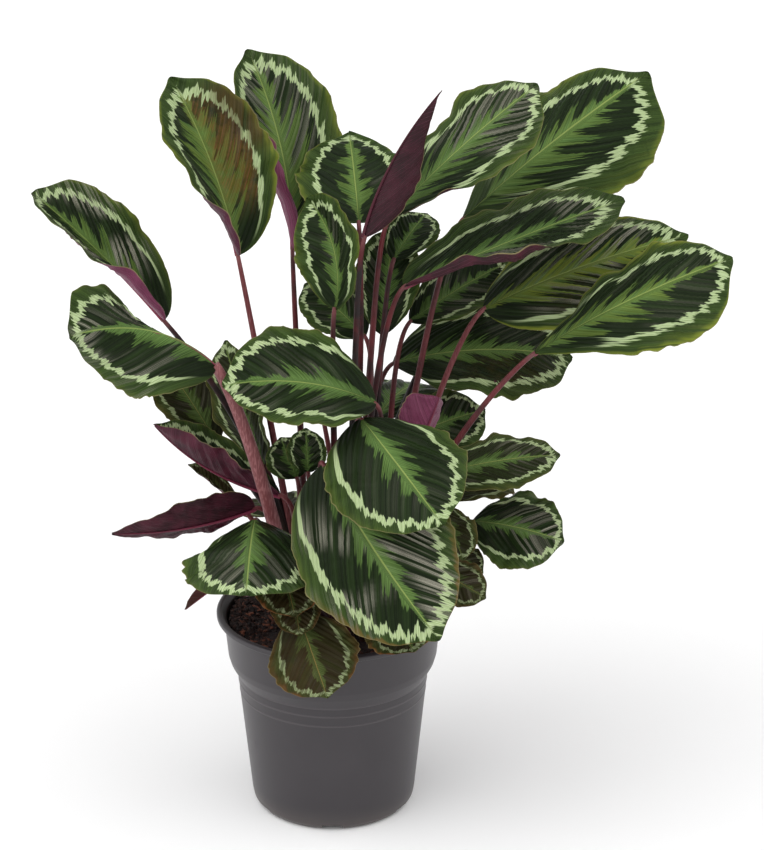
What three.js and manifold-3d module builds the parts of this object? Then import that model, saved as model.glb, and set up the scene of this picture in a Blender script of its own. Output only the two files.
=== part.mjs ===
// A potted calathea: patterned blades on burgundy stalks that rise from leafy shoots,
// standing in soil in a tapered nursery pot. Millimetres, +Z up, and the origin is the
// centre of the pot's flat floor. The best-furnished side of the plant looks along -Y.

import * as THREE from 'three';
import { mergeVertices } from 'three/addons/utils/BufferGeometryUtils.js';
import Module from 'manifold-3d';

const wasm = await Module();
wasm.setup();

// ---- driving dimensions -------------------------------------------------------------

const POT_HEIGHT = 190;
const POT_LIP_RADIUS = 105;
const POT_NECK_RADIUS = 98.5;
const POT_COLLAR_RADIUS = 95;
const POT_STEP_RADIUS = 87.4;
const POT_FOOT_RADIUS = 75.2;
const POT_FLOOR_RADIUS = 67;
const POT_FLOOR = 3.4;
const POT_WALL = 2.4;
const POT_SIDES = 36;
const STEP_HEIGHT = 131;
const COLLAR_HEIGHT = 148;
const LIP_DEPTH = 6;
const DRAIN_SLOTS = 6;
const DRAIN_SIZE = new THREE.Vector3(16, 22, 9);

const GAP = 0.3;
const SOIL_TOP = 172;
const SOIL_EDGE_RADIUS = 93.9;
const SOIL_RIPPLE = 1.25;

const CROWN_RADIUS = 11;
const CROWN_NECK = 5.5;
const CROWN_SUNK = 24;
const CROWN_RISE = 26;
const CROWN_SIDES = 10;

const STALK_FOOT_RADIUS = 3.2;
const STALK_END_RADIUS = 2.0;
const STALK_SIDES = 5;
const STALK_STEPS = 7;
const STALK_KNEE = 26;
const STALK_CLEAR = 0.45;
const STALK_SPREAD = 4.5;

const RIB_AT_ROOT = 3.6;
const RIB_AT_TIP = 1.2;
const BLADE_THICKNESS = 0.8;
const ROOT_HALF_WIDTH = 2;
const STATIONS = [0, 0.04, 0.12, 0.22, 0.33, 0.44, 0.55, 0.66, 0.77, 0.88, 0.96, 1];
const FEW_STATIONS = [0, 0.06, 0.2, 0.4, 0.6, 0.8, 0.94, 1];
const SMALL_BLADE = 60;
const ACROSS = [-1, -0.5, 0, 0.5, 1];

const COLOURS = {
  pot: { color: 0x4c494c, roughness: 0.5, metalness: 0 },
  soil: { color: 0x2a1a12, roughness: 1, metalness: 0 },
  stalk: { color: 0x5e2233, roughness: 0.45, metalness: 0 },
  leaf: { color: 0x35592f, roughness: 0.4, metalness: 0 },
};

// ---- the plant, as it grew -----------------------------------------------------------

// Where each shoot stands in the soil.
const SHOOTS = {
  left: [-34, 4],
  left_front: [-26, -30],
  front: [6, -40],
  right_front: [36, -26],
  right: [42, 12],
  back: [16, 42],
  back_left: [-22, 38],
  centre: [4, 2],
};

// Each blade, in mm and degrees.
//   shoot         the shoot its stalk grows from
//   root, tip     ends of the midrib; face: the way its upper side looks
//   width         across the blade's broadest place
//   broadest      where that place lies between root (0) and tip (1)
//   blunt         how full the two ends are: less is fuller
//   bow, bend     how far the midrib arches towards the face, and to its right
//   fold          how far the left and right halves rise from flat at the midrib
//   curl, furl    how far each half turns on to its edge: all along, and more at the root
//   wave, twist   height of the edge's ripple, and the turn from root to tip
//   sheath        radius of the stalk's foot, where it is not the usual one
const LEAVES = {
  left_1: { shoot: 'back_left', root: [-145, 6, 462], tip: [-259, 36, 569], face: [0.35, -0.75, 0.55],
   
    width: 96, bow: 6, bend: 1, fold: [55, 2], curl: [0, -5], furl: [50, 0],
    wave: 2, twist: -6, broadest: 0.56, blunt: 0.38 },
  left_2: { shoot: 'left_front', root: [-95, -65, 446], tip: [-214, -110, 488], face: [0, -0.6, 0.8],
    sheath: 6,
    width: 116, bow: 14, bend: 24, fold: [-42, -32], curl: [-5, 0], furl: [0, 0],
    wave: 3, twist: -60, broadest: 0.46, blunt: 0.42 },
  left_3: { shoot: 'left_front', root: [-45, -10, 303], tip: [-155, -20, 375], face: [0.1, -0.2, 0.95],
    width: 66, bow: -12, fold: [60, 45], curl: [15, 0], wave: 3 },
  left_4: { shoot: 'left_front', root: [-68, -10, 291], tip: [-192, -50, 284], face: [0, 0.75, 0.65],
    width: 74, bow: -7, fold: [8, 5], curl: [0, 0], wave: 2, broadest: 0.4 },
  left_5: { shoot: 'left_front', root: [-66, -52, 299], tip: [-70, -145, 268], face: [0, -0.4, 0.9],
    width: 132, bow: 10, fold: [-12, -18], curl: [-10, -20],
    wave: 3, broadest: 0.52, blunt: 0.46 },
  left_6: { shoot: 'back_left', root: [-105, 60, 325], tip: [-160, 75, 410], face: [0.3, -0.8, 0.5],
    width: 62, bow: 5, fold: [10, 10], curl: [0, 0], wave: 3 },
  left_7: { shoot: 'back_left', root: [-60, 30, 315], tip: [-95, 60, 425], face: [-0.7, -0.6, 0.2],
    width: 70, bow: 5, fold: [10, 10], curl: [0, 0], wave: 3 },
  left_8: { shoot: 'left', root: [-85, 20, 283], tip: [-130, 30, 317], face: [0.5, -0.4, 0.7],
    width: 22, bow: 1, fold: [40, 40], curl: [0, 0], wave: 1 },

  top_1: { shoot: 'back_left', root: [-80, 20, 517], tip: [-138, 60, 666], face: [0.5, -0.8, 0.35],
    width: 120, bow: 6, bend: 4, fold: [32, 12], curl: [0, -10], furl: [60, 0],
    wave: 3, twist: -20, broadest: 0.48 },
  top_2: { shoot: 'back_left', root: [-35, 95, 499], tip: [-76, 155, 668], face: [0.45, -0.8, 0.35],
    width: 124, bow: 6, bend: 8, fold: [10, 8], curl: [28, -5], furl: [185, 0], wave: 3 },
  top_3: { shoot: 'centre', root: [25, 15, 548], tip: [15, 140, 596], face: [0, -0.3, 0.95],
    width: 102, bow: 8, fold: [-5, -5], curl: [-10, -10], wave: 3, broadest: 0.48 },
  top_4: { shoot: 'centre', root: [30, -38, 551], tip: [95, -28, 676], face: [1, 0.3, 0],
    width: 56, bow: -2, fold: [60, 65], curl: [10, 10], wave: 1, broadest: 0.32 },

  right_1: { shoot: 'centre', root: [50, 0, 555], tip: [178, 30, 667], face: [-0.3, -0.7, 0.65],
    width: 98, bow: 8, fold: [-18, 8], curl: [0, -10], wave: 4, broadest: 0.66 },
  right_2: { shoot: 'right', root: [116, 90, 528], tip: [284, 150, 648], face: [-0.25, -0.75, 0.6],
    width: 156, bow: 10, fold: [-30, 0], curl: [0, 0], wave: 4, broadest: 0.64 },
  right_3: { shoot: 'centre', root: [64, -20, 502], tip: [255, 30, 565], face: [-0.2, -0.35, 0.9],
    width: 108, bow: 3, fold: [0, 10], curl: [0, 0], furl: [0, 70], wave: 4 },
  right_4: { shoot: 'right', root: [135, 45, 460], tip: [315, 55, 525], face: [-0.2, -0.6, 0.75],
    width: 114, bow: 10, fold: [-12, -5], curl: [0, -5], wave: 3, broadest: 0.5 },
  right_5: { shoot: 'right_front', root: [175, -30, 444], tip: [342, -40, 534], face: [-0.3, -0.6, 0.75],
    width: 118, bow: 10, fold: [-18, -5], curl: [-5, -5], wave: 4, broadest: 0.67 },
  right_6: { shoot: 'right', root: [70, 88, 433], tip: [160, 135, 474], face: [0.1, -0.6, 0.75],
    width: 58, bow: 6, fold: [5, 5], curl: [0, 0], wave: 2 },
  right_7: { shoot: 'back', root: [55, 95, 391], tip: [220, 110, 390], face: [0, -0.55, 0.83],
    width: 118, bow: 16, fold: [2, 5], curl: [-5, 0], furl: [0, 30], wave: 4 },
  right_8: { shoot: 'right_front', root: [88, -48, 338], tip: [200, -45, 356], face: [0, -0.5, 0.85],
    width: 60, bow: 6, fold: [0, 0], curl: [-10, -10], wave: 3 },
  right_9: { shoot: 'right_front', root: [125, -20, 283], tip: [205, -50, 276], face: [0.2, -0.6, 0.75],
    width: 84, bow: 6, fold: [0, 0], curl: [-10, -10], wave: 3 },
  right_10: { shoot: 'right_front', root: [90, -60, 315], tip: [115, -110, 285], face: [0.3, -0.6, 0.7],
    width: 45, bow: 5, fold: [10, 10], curl: [0, 0], wave: 2 },
  right_11: { shoot: 'right_front', root: [85, -74, 262], tip: [135, -95, 242], face: [0.2, -0.7, 0.7],
    width: 45, bow: 4, fold: [0, 0], curl: [0, 0], wave: 2 },
  right_12: { shoot: 'right_front', root: [90, -34, 259], tip: [134, -54, 247], face: [0.2, -0.6, 0.7],
    width: 42, bow: 4, fold: [0, 0], curl: [0, 0], wave: 2 },

  centre_1: { shoot: 'centre', root: [5, -24, 482], tip: [-20, 26, 568], face: [-0.1, -0.8, 0.5],
   
    width: 74, bow: 6, bend: 12, fold: [0, 50], curl: [-5, 0], wave: 3, broadest: 0.5 },
  centre_2: { shoot: 'front', root: [40, -62, 411], tip: [-90, -82, 434], face: [0, -0.4, 0.9],
   
    width: 114, bow: 14, fold: [10, 18], curl: [-10, -10], wave: 3 },
  centre_3: { shoot: 'back', root: [45, 60, 430], tip: [55, 110, 515], face: [0, -0.7, 0.7],
    width: 60, bow: 5, fold: [5, 5], curl: [0, 0], wave: 2 },
  centre_4: { shoot: 'back', root: [30, 70, 425], tip: [-25, 100, 465], face: [0.1, -0.7, 0.7],
    width: 60, bow: 5, fold: [5, 5], curl: [0, 0], wave: 2 },
  centre_5: { shoot: 'front', root: [76, -30, 353], tip: [95, -20, 400], face: [-0.4, 0.8, 0.2],
    width: 54, bow: 0, fold: [20, 20], curl: [20, 20], wave: 1 },
  centre_6: { shoot: 'right', root: [60, 66, 325], tip: [140, 94, 345], face: [0, -0.6, 0.8],
    width: 70, bow: 5, fold: [0, 0], curl: [0, 0], wave: 2 },
  centre_7: { shoot: 'back', root: [55, 60, 500], tip: [85, 120, 525], face: [0, -0.6, 0.8],
    width: 50, bow: 4, fold: [5, 5], curl: [0, 0], wave: 2 },
  centre_8: { shoot: 'left_front', root: [-30, -15, 322], tip: [-44, -25, 365], face: [0, -0.9, 0.4],
    width: 42, bow: 3, fold: [5, 5], curl: [0, 0], wave: 2 },
  centre_9: { shoot: 'front', root: [-20, -24, 331], tip: [-21, -44, 381], face: [0, -0.9, -0.2],
    width: 36, bow: 3, fold: [5, 5], curl: [0, 0], wave: 2 },

  front_1: { shoot: 'front', root: [27, -80, 404], tip: [96, -165, 341], face: [0.1, -0.55, 0.83],
    width: 130, bow: 10, bend: 4, fold: [-5, -5], curl: [-10, -10], wave: 3, broadest: 0.5 },
  front_2: { shoot: 'front', root: [-5, -100, 370], tip: [94, -165, 236], face: [-0.1, -0.9, 0.38],
    width: 138, bow: 12, bend: 3, fold: [-5, -5], curl: [-10, -10], wave: 3, broadest: 0.46 },
  front_3: { shoot: 'left_front', root: [-45, -50, 262], tip: [-30, -112, 232], face: [0, -0.6, 0.8],
    width: 62, bow: 5, fold: [5, 5], curl: [0, 0], wave: 2 },
  front_4: { shoot: 'front', root: [-28, -90, 226], tip: [-2, -125, 161], face: [0, -0.87, 0.48],
    width: 80, bow: 6, fold: [0, 0], curl: [-10, -10], wave: 3 },
  front_5: { shoot: 'front', root: [48, -80, 225], tip: [73, -125, 205], face: [0, -0.5, 0.85],
    width: 66, bow: 3, fold: [0, 0], curl: [0, 0], wave: 2 },
  front_6: { shoot: 'left_front', root: [-35, -55, 246], tip: [-26, -118, 217], face: [0, -0.6, 0.8],
    width: 45, bow: 3, fold: [0, 0], curl: [0, 0], wave: 2 },
  front_7: { shoot: 'left', root: [-75, -20, 245], tip: [-130, -50, 210], face: [0, 0.6, 0.8],
    width: 22, bow: 0, fold: [40, 40], curl: [20, 20], wave: 1 },

  back_1: { shoot: 'back', root: [40, 110, 330], tip: [90, 200, 330], face: [0.1, 0.2, 0.95],
    width: 95, bow: 12, fold: [0, 0], curl: [-10, -10], wave: 3 },
  back_2: { shoot: 'back', root: [-10, 100, 340], tip: [-30, 210, 350], face: [0, 0.2, 0.95],
    width: 100, bow: 12, fold: [0, 0], curl: [-10, -10], wave: 3 },
  back_3: { shoot: 'back_left', root: [-45, 80, 245], tip: [-80, 160, 225], face: [-0.2, 0.3, 0.9],
    width: 85, bow: 10, fold: [0, 0], curl: [-10, -10], wave: 3 },
  back_4: { shoot: 'back', root: [110, 160, 420], tip: [200, 250, 470], face: [0, -0.2, 0.95],
    width: 110, bow: 12, fold: [0, 0], curl: [-10, -10], wave: 3 },
  back_5: { shoot: 'right', root: [100, 60, 270], tip: [155, 130, 260], face: [0.2, 0.2, 0.95],
    width: 85, bow: 10, fold: [0, 0], curl: [-10, -10], wave: 3 },
};

// ---- small helpers -------------------------------------------------------------------

const radians = THREE.MathUtils.degToRad;

function vector(list) {
  return new THREE.Vector3(...list);
}

// A closed mesh as a solid that can be cut and joined.
function toSolid(geometry) {
  const bare = geometry.clone();
  bare.deleteAttribute('normal');
  bare.deleteAttribute('uv');
  const merged = mergeVertices(bare, 1e-4);
  const vertProperties = new Float32Array(merged.attributes.position.array);
  const triVerts = new Uint32Array(merged.index.array);
  return new wasm.Manifold(new wasm.Mesh({ numProp: 3, vertProperties, triVerts }));
}

function toGeometry(solid) {
  const mesh = solid.getMesh();
  const geometry = new THREE.BufferGeometry();
  geometry.setAttribute('position', new THREE.BufferAttribute(mesh.vertProperties, 3));
  geometry.setIndex(new THREE.BufferAttribute(mesh.triVerts, 1));
  geometry.computeVertexNormals();
  return geometry;
}

// A profile of radius and height turned about +Z.
function turned(profile, sides) {
  const points = profile.map(([radius, height]) => new THREE.Vector2(radius, height));
  const geometry = new THREE.LatheGeometry(points, sides);
  geometry.rotateX(Math.PI / 2);
  return geometry;
}

function part(name, geometry, material) {
  const mesh = new THREE.Mesh(geometry, new THREE.MeshStandardMaterial(COLOURS[material]));
  mesh.name = name;
  return mesh;
}

// ---- pot -----------------------------------------------------------------------------

const POT_OUTSIDE = [
  [0, 0],
  [POT_FLOOR_RADIUS, 0],
  [POT_FOOT_RADIUS - 3.7, 1.8],
  [POT_FOOT_RADIUS - 1.2, 5.5],
  [POT_FOOT_RADIUS, 12],
  [POT_STEP_RADIUS - 0.8, STEP_HEIGHT - 4],
  [POT_STEP_RADIUS, STEP_HEIGHT],
  [POT_COLLAR_RADIUS - 2, STEP_HEIGHT + 10],
  [POT_COLLAR_RADIUS, COLLAR_HEIGHT],
  [POT_NECK_RADIUS, POT_HEIGHT - LIP_DEPTH],
  [POT_LIP_RADIUS, POT_HEIGHT - LIP_DEPTH + 0.6],
  [POT_LIP_RADIUS, POT_HEIGHT - 1.5],
  [POT_LIP_RADIUS - 1.8, POT_HEIGHT],
  [POT_LIP_RADIUS - 4.6, POT_HEIGHT],
];
const POT_INSIDE = [
  [POT_NECK_RADIUS - POT_WALL, POT_HEIGHT - LIP_DEPTH],
  [POT_COLLAR_RADIUS - POT_WALL, COLLAR_HEIGHT + 1],
  [POT_COLLAR_RADIUS - 4 - POT_WALL, STEP_HEIGHT + 9],
  [POT_STEP_RADIUS - 1.8 - POT_WALL, STEP_HEIGHT - 1],
  [POT_FOOT_RADIUS - POT_WALL, 14],
  [POT_FOOT_RADIUS - 4.7 - POT_WALL, POT_FLOOR],
  [0, POT_FLOOR],
];

function makePot() {
  let pot = toSolid(turned([...POT_OUTSIDE, ...POT_INSIDE], POT_SIDES));
  for (let i = 0; i < DRAIN_SLOTS; i += 1) {
    const slot = new THREE.BoxGeometry(DRAIN_SIZE.x, DRAIN_SIZE.y, DRAIN_SIZE.z);
    slot.translate(0, -POT_FLOOR_RADIUS - 4, 0);
    slot.rotateZ((i + 1) * (2 * Math.PI) / DRAIN_SLOTS);
    pot = pot.subtract(toSolid(slot));
  }
  return part('pot', toGeometry(pot), 'pot');
}

// ---- soil ----------------------------------------------------------------------------

function soilHeight(x, y) {
  const hills = Math.sin(x * 0.11 + 1) * Math.cos(y * 0.13) + Math.sin((x - y) * 0.07);
  return SOIL_TOP + SOIL_RIPPLE * hills;
}

function makeSoil() {
  const inside = POT_INSIDE.filter(([, height]) => height < SOIL_TOP - 4).reverse();
  const fill = inside.map(([radius, height]) => [Math.max(radius - GAP, 0), height + GAP]);
  const rings = [SOIL_EDGE_RADIUS, 70, 36, 0].map((radius) => [radius, SOIL_TOP]);
  const geometry = turned([...fill, ...rings], POT_SIDES);
  const place = geometry.attributes.position;
  for (let i = 0; i < place.count; i += 1) {
    if (place.getZ(i) > SOIL_TOP - 0.01) {
      place.setZ(i, soilHeight(place.getX(i), place.getY(i)));
    }
  }
  let soil = toSolid(geometry);
  for (const [x, y] of Object.values(SHOOTS)) {
    const bore = CROWN_RADIUS + GAP;
    const deep = 2 * CROWN_SUNK;
    const hole = new THREE.CylinderGeometry(bore, bore, deep, CROWN_SIDES);
    hole.rotateX(Math.PI / 2);
    hole.translate(x, y, SOIL_TOP - CROWN_SUNK - GAP + deep / 2);
    soil = soil.subtract(toSolid(hole));
  }
  return part('soil', toGeometry(soil), 'soil');
}

// ---- leaves --------------------------------------------------------------------------

// The blade's own axes: along the chord, towards its face, and to its right.
function bladeAxes(leaf) {
  const root = vector(leaf.root);
  const along = vector(leaf.tip).sub(root);
  const length = along.length();
  along.normalize();
  const face = vector(leaf.face);
  face.addScaledVector(along, -face.dot(along)).normalize();
  const side = new THREE.Vector3().crossVectors(along, face);
  return { root, along, face, side, length };
}

// Half the blade's width at t along it, as a share of its broadest half-width, which it
// has at the leaf's own place between root (0) and tip (1).
function outline(leaf, t) {
  const { broadest = 0.54, blunt = 0.56 } = leaf;
  const shifted = Math.pow(t, Math.log(0.5) / Math.log(broadest));
  return Math.pow(Math.max(Math.sin(Math.PI * shifted), 0), blunt);
}

// A point of the blade's middle surface: t from root to tip, q from left edge to right.
function bladePoint(leaf, axes, t, q) {
  const { bend = 0, twist = 0, furl = [0, 0] } = leaf;
  const arch = 4 * t * (1 - t);
  const lean = 4 * (1 - 2 * t);
  const point = axes.root.clone();
  point.addScaledVector(axes.along, axes.length * t);
  point.addScaledVector(axes.face, leaf.bow * arch);
  point.addScaledVector(axes.side, bend * arch);
  const tangent = axes.along.clone().multiplyScalar(axes.length);
  tangent.addScaledVector(axes.face, leaf.bow * lean);
  tangent.addScaledVector(axes.side, bend * lean);
  tangent.normalize();
  const up = axes.face.clone().applyAxisAngle(tangent, radians(twist * (t - 0.5)));
  up.addScaledVector(tangent, -up.dot(tangent)).normalize();
  const right = new THREE.Vector3().crossVectors(tangent, up);

  const half = q < 0 ? 0 : 1;
  const sign = q < 0 ? -1 : 1;
  const reach = Math.abs(q);
  const breadth = Math.max(ROOT_HALF_WIDTH, (leaf.width / 2) * outline(leaf, t));
  const start = radians(leaf.fold[half]);
  const turn = radians(leaf.curl[half] + furl[half] * (1 - t) * (1 - t)) || 1e-4;
  const end = start + turn * reach;
  const across = breadth * (Math.sin(end) - Math.sin(start)) / turn;
  const rise = breadth * (Math.cos(start) - Math.cos(end)) / turn;
  const phase = axes.length * 0.37 + half * 2.1;
  const ripple = leaf.wave * reach * reach * Math.sin(Math.PI * t) * Math.sin(18 * t + phase);
  point.addScaledVector(right, sign * (across - ripple * Math.sin(end)));
  point.addScaledVector(up, rise + ripple * Math.cos(end));
  return point;
}

function bladeNormal(leaf, axes, t, q) {
  const here = Math.min(t, 0.97);
  const d = 0.01;
  const before = bladePoint(leaf, axes, Math.max(here - d, 0), q);
  const after = bladePoint(leaf, axes, here + d, q);
  const left = bladePoint(leaf, axes, here, Math.max(q - d, -1));
  const right = bladePoint(leaf, axes, here, Math.min(q + d, 1));
  return right.sub(left).cross(after.sub(before)).normalize();
}

// Upper and lower faces share one pattern of triangles, closed by a rim.
function makeBlade(name, leaf) {
  const axes = bladeAxes(leaf);
  const points = [];
  const cells = [];
  const columns = ACROSS.length;
  const stations = leaf.width < SMALL_BLADE ? FEW_STATIONS : STATIONS;
  for (const side of [1, -1]) {
    for (const t of stations) {
      for (const q of ACROSS) {
        const rib = THREE.MathUtils.lerp(RIB_AT_ROOT, RIB_AT_TIP, t);
        const nearRoot = t === 0 ? 1 : Math.pow(1 - Math.abs(q), 2);
        const thickness = BLADE_THICKNESS + (rib - BLADE_THICKNESS) * nearRoot;
        const lift = side > 0 ? BLADE_THICKNESS / 2 : BLADE_THICKNESS / 2 - thickness;
        const point = bladePoint(leaf, axes, t, t === 1 ? 0 : q);
        point.addScaledVector(bladeNormal(leaf, axes, t, t === 0 || t === 1 ? 0 : q), lift);
        points.push(point.x, point.y, point.z);
      }
    }
  }
  const last = stations.length - 1;
  const below = stations.length * columns;
  const at = (row, column) => row * columns + (row === last ? 0 : column);
  const triangle = (a, b, c) => {
    if (a !== b && b !== c && c !== a) cells.push(a, b, c);
  };
  for (let row = 0; row < last; row += 1) {
    for (let column = 0; column < columns - 1; column += 1) {
      const a = at(row, column);
      const b = at(row, column + 1);
      const c = at(row + 1, column + 1);
      const d = at(row + 1, column);
      const mirrored = column >= (columns - 1) / 2;
      const pair = mirrored ? [[a, b, d], [b, c, d]] : [[a, b, c], [a, c, d]];
      for (const [i, j, k] of pair) {
        triangle(i, j, k);
        triangle(below + i, below + k, below + j);
      }
    }
  }
  const rim = [];
  for (let column = 0; column < columns; column += 1) rim.push(at(0, column));
  for (let row = 1; row <= last; row += 1) rim.push(at(row, columns - 1));
  for (let row = last - 1; row > 0; row -= 1) rim.push(at(row, 0));
  rim.forEach((a, i) => {
    const b = rim[(i + 1) % rim.length];
    triangle(a, below + a, below + b);
    triangle(a, below + b, b);
  });
  const geometry = new THREE.BufferGeometry();
  geometry.setAttribute('position', new THREE.Float32BufferAttribute(points, 3));
  geometry.setIndex(cells);
  geometry.computeVertexNormals();
  return part(`leaf_${name}`, geometry, 'leaf');
}

// ---- shoots --------------------------------------------------------------------------

// A stalk rises from its shoot, then turns in line with its blade just below the root.
function stalkCurve(leaf) {
  const axes = bladeAxes(leaf);
  const [x, y] = SHOOTS[leaf.shoot];
  const end = axes.root.clone().addScaledVector(axes.along, -STALK_CLEAR);
  const out = new THREE.Vector3(end.x - x, end.y - y, 0);
  out.normalize();
  const start = new THREE.Vector3(x, y, SOIL_TOP + 4).addScaledVector(out, STALK_SPREAD);
  const height = end.distanceTo(start);
  const rise = start.clone().addScaledVector(out, height * 0.08);
  rise.z += height * 0.5;
  const archTangent = axes.along.clone().multiplyScalar(axes.length);
  archTangent.addScaledVector(axes.face, 4 * leaf.bow);
  archTangent.addScaledVector(axes.side, 4 * (leaf.bend ?? 0)).normalize();
  const knee = end.clone().addScaledVector(archTangent, -STALK_KNEE);
  return new THREE.CubicBezierCurve3(start, rise, knee, end);
}

// A round tube with closed ends that narrows along its curve.
function taperedTube(curve, steps, sides, radiusAt) {
  const frames = curve.computeFrenetFrames(steps, false);
  const points = [];
  const cells = [];
  for (let i = 0; i <= steps; i += 1) {
    const t = i / steps;
    const middle = curve.getPointAt(t);
    for (let j = 0; j < sides; j += 1) {
      const angle = (2 * Math.PI * j) / sides;
      const point = middle.clone();
      point.addScaledVector(frames.normals[i], radiusAt(t) * Math.cos(angle));
      point.addScaledVector(frames.binormals[i], radiusAt(t) * Math.sin(angle));
      points.push(point.x, point.y, point.z);
    }
  }
  for (let i = 0; i < steps; i += 1) {
    for (let j = 0; j < sides; j += 1) {
      const next = (j + 1) % sides;
      const a = i * sides + j;
      const b = i * sides + next;
      cells.push(a, b, b + sides);
      cells.push(a, b + sides, a + sides);
    }
  }
  const top = steps * sides;
  for (let j = 1; j < sides - 1; j += 1) {
    cells.push(0, j + 1, j);
    cells.push(top, top + j, top + j + 1);
  }
  const geometry = new THREE.BufferGeometry();
  geometry.setAttribute('position', new THREE.Float32BufferAttribute(points, 3));
  geometry.setIndex(cells);
  return geometry;
}

function makeShoot(name, [x, y]) {
  const base = SOIL_TOP - CROWN_SUNK;
  const crown = turned([
    [0, base],
    [CROWN_RADIUS, base],
    [CROWN_RADIUS, SOIL_TOP],
    [CROWN_NECK, SOIL_TOP + CROWN_RISE],
    [0, SOIL_TOP + CROWN_RISE],
  ], CROWN_SIDES);
  crown.translate(x, y, 0);
  let shoot = toSolid(crown);
  for (const leaf of Object.values(LEAVES)) {
    if (leaf.shoot !== name) continue;
    const foot = leaf.sheath ?? STALK_FOOT_RADIUS;
    const radiusAt = (t) => THREE.MathUtils.lerp(foot, STALK_END_RADIUS, t);
    shoot = shoot.add(toSolid(taperedTube(stalkCurve(leaf), STALK_STEPS, STALK_SIDES, radiusAt)));
  }
  return part(`shoot_${name}`, toGeometry(shoot), 'stalk');
}

// ---- the whole plant -----------------------------------------------------------------

const calathea = new THREE.Group();
calathea.add(makePot(), makeSoil());
for (const [name, place] of Object.entries(SHOOTS)) calathea.add(makeShoot(name, place));
for (const [name, leaf] of Object.entries(LEAVES)) calathea.add(makeBlade(name, leaf));

export default calathea;
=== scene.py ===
import math
import random
from types import SimpleNamespace

import bpy
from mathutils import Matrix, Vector


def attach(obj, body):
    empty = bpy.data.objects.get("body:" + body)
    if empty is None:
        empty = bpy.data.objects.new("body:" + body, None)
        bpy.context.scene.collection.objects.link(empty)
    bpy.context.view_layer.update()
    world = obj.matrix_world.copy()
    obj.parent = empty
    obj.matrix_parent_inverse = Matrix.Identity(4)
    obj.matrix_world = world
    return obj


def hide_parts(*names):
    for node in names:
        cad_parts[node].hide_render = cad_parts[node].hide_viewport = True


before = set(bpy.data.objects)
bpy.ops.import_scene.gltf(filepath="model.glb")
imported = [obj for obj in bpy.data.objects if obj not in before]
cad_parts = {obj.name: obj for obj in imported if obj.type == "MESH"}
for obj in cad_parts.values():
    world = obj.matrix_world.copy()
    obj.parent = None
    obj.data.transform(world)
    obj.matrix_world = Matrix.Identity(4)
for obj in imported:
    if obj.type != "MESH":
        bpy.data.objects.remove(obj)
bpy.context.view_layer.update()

bl_info = {
    "name": "Potted calathea",
    "version": (1, 0, 0),
    "blender": (4, 5, 0),
    "location": "View3D > Sidebar > Calathea",
    "description": "Builds a calathea in its pot: patterned leaves, stalks, soil and pot",
    "category": "Object",
}

BODY = "root"
MM = 0.001

# ---- the plant's plan, in millimetres and degrees as in the part's source --------------

SHOOTS = {
    "left": (-34, 4),
    "left_front": (-26, -30),
    "front": (6, -40),
    "right_front": (36, -26),
    "right": (42, 12),
    "back": (16, 42),
    "back_left": (-22, 38),
    "centre": (4, 2),
}


def blade(shoot, root, tip, face, **shape):
    """A leaf's place and shape, with the usual values where it has none of its own."""
    usual = dict(broadest=0.54, blunt=0.56, bend=0, furl=(0, 0), twist=0, sheath=3.2)
    return {**usual, **shape, "shoot": shoot, "root": root, "tip": tip, "face": face}


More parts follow.
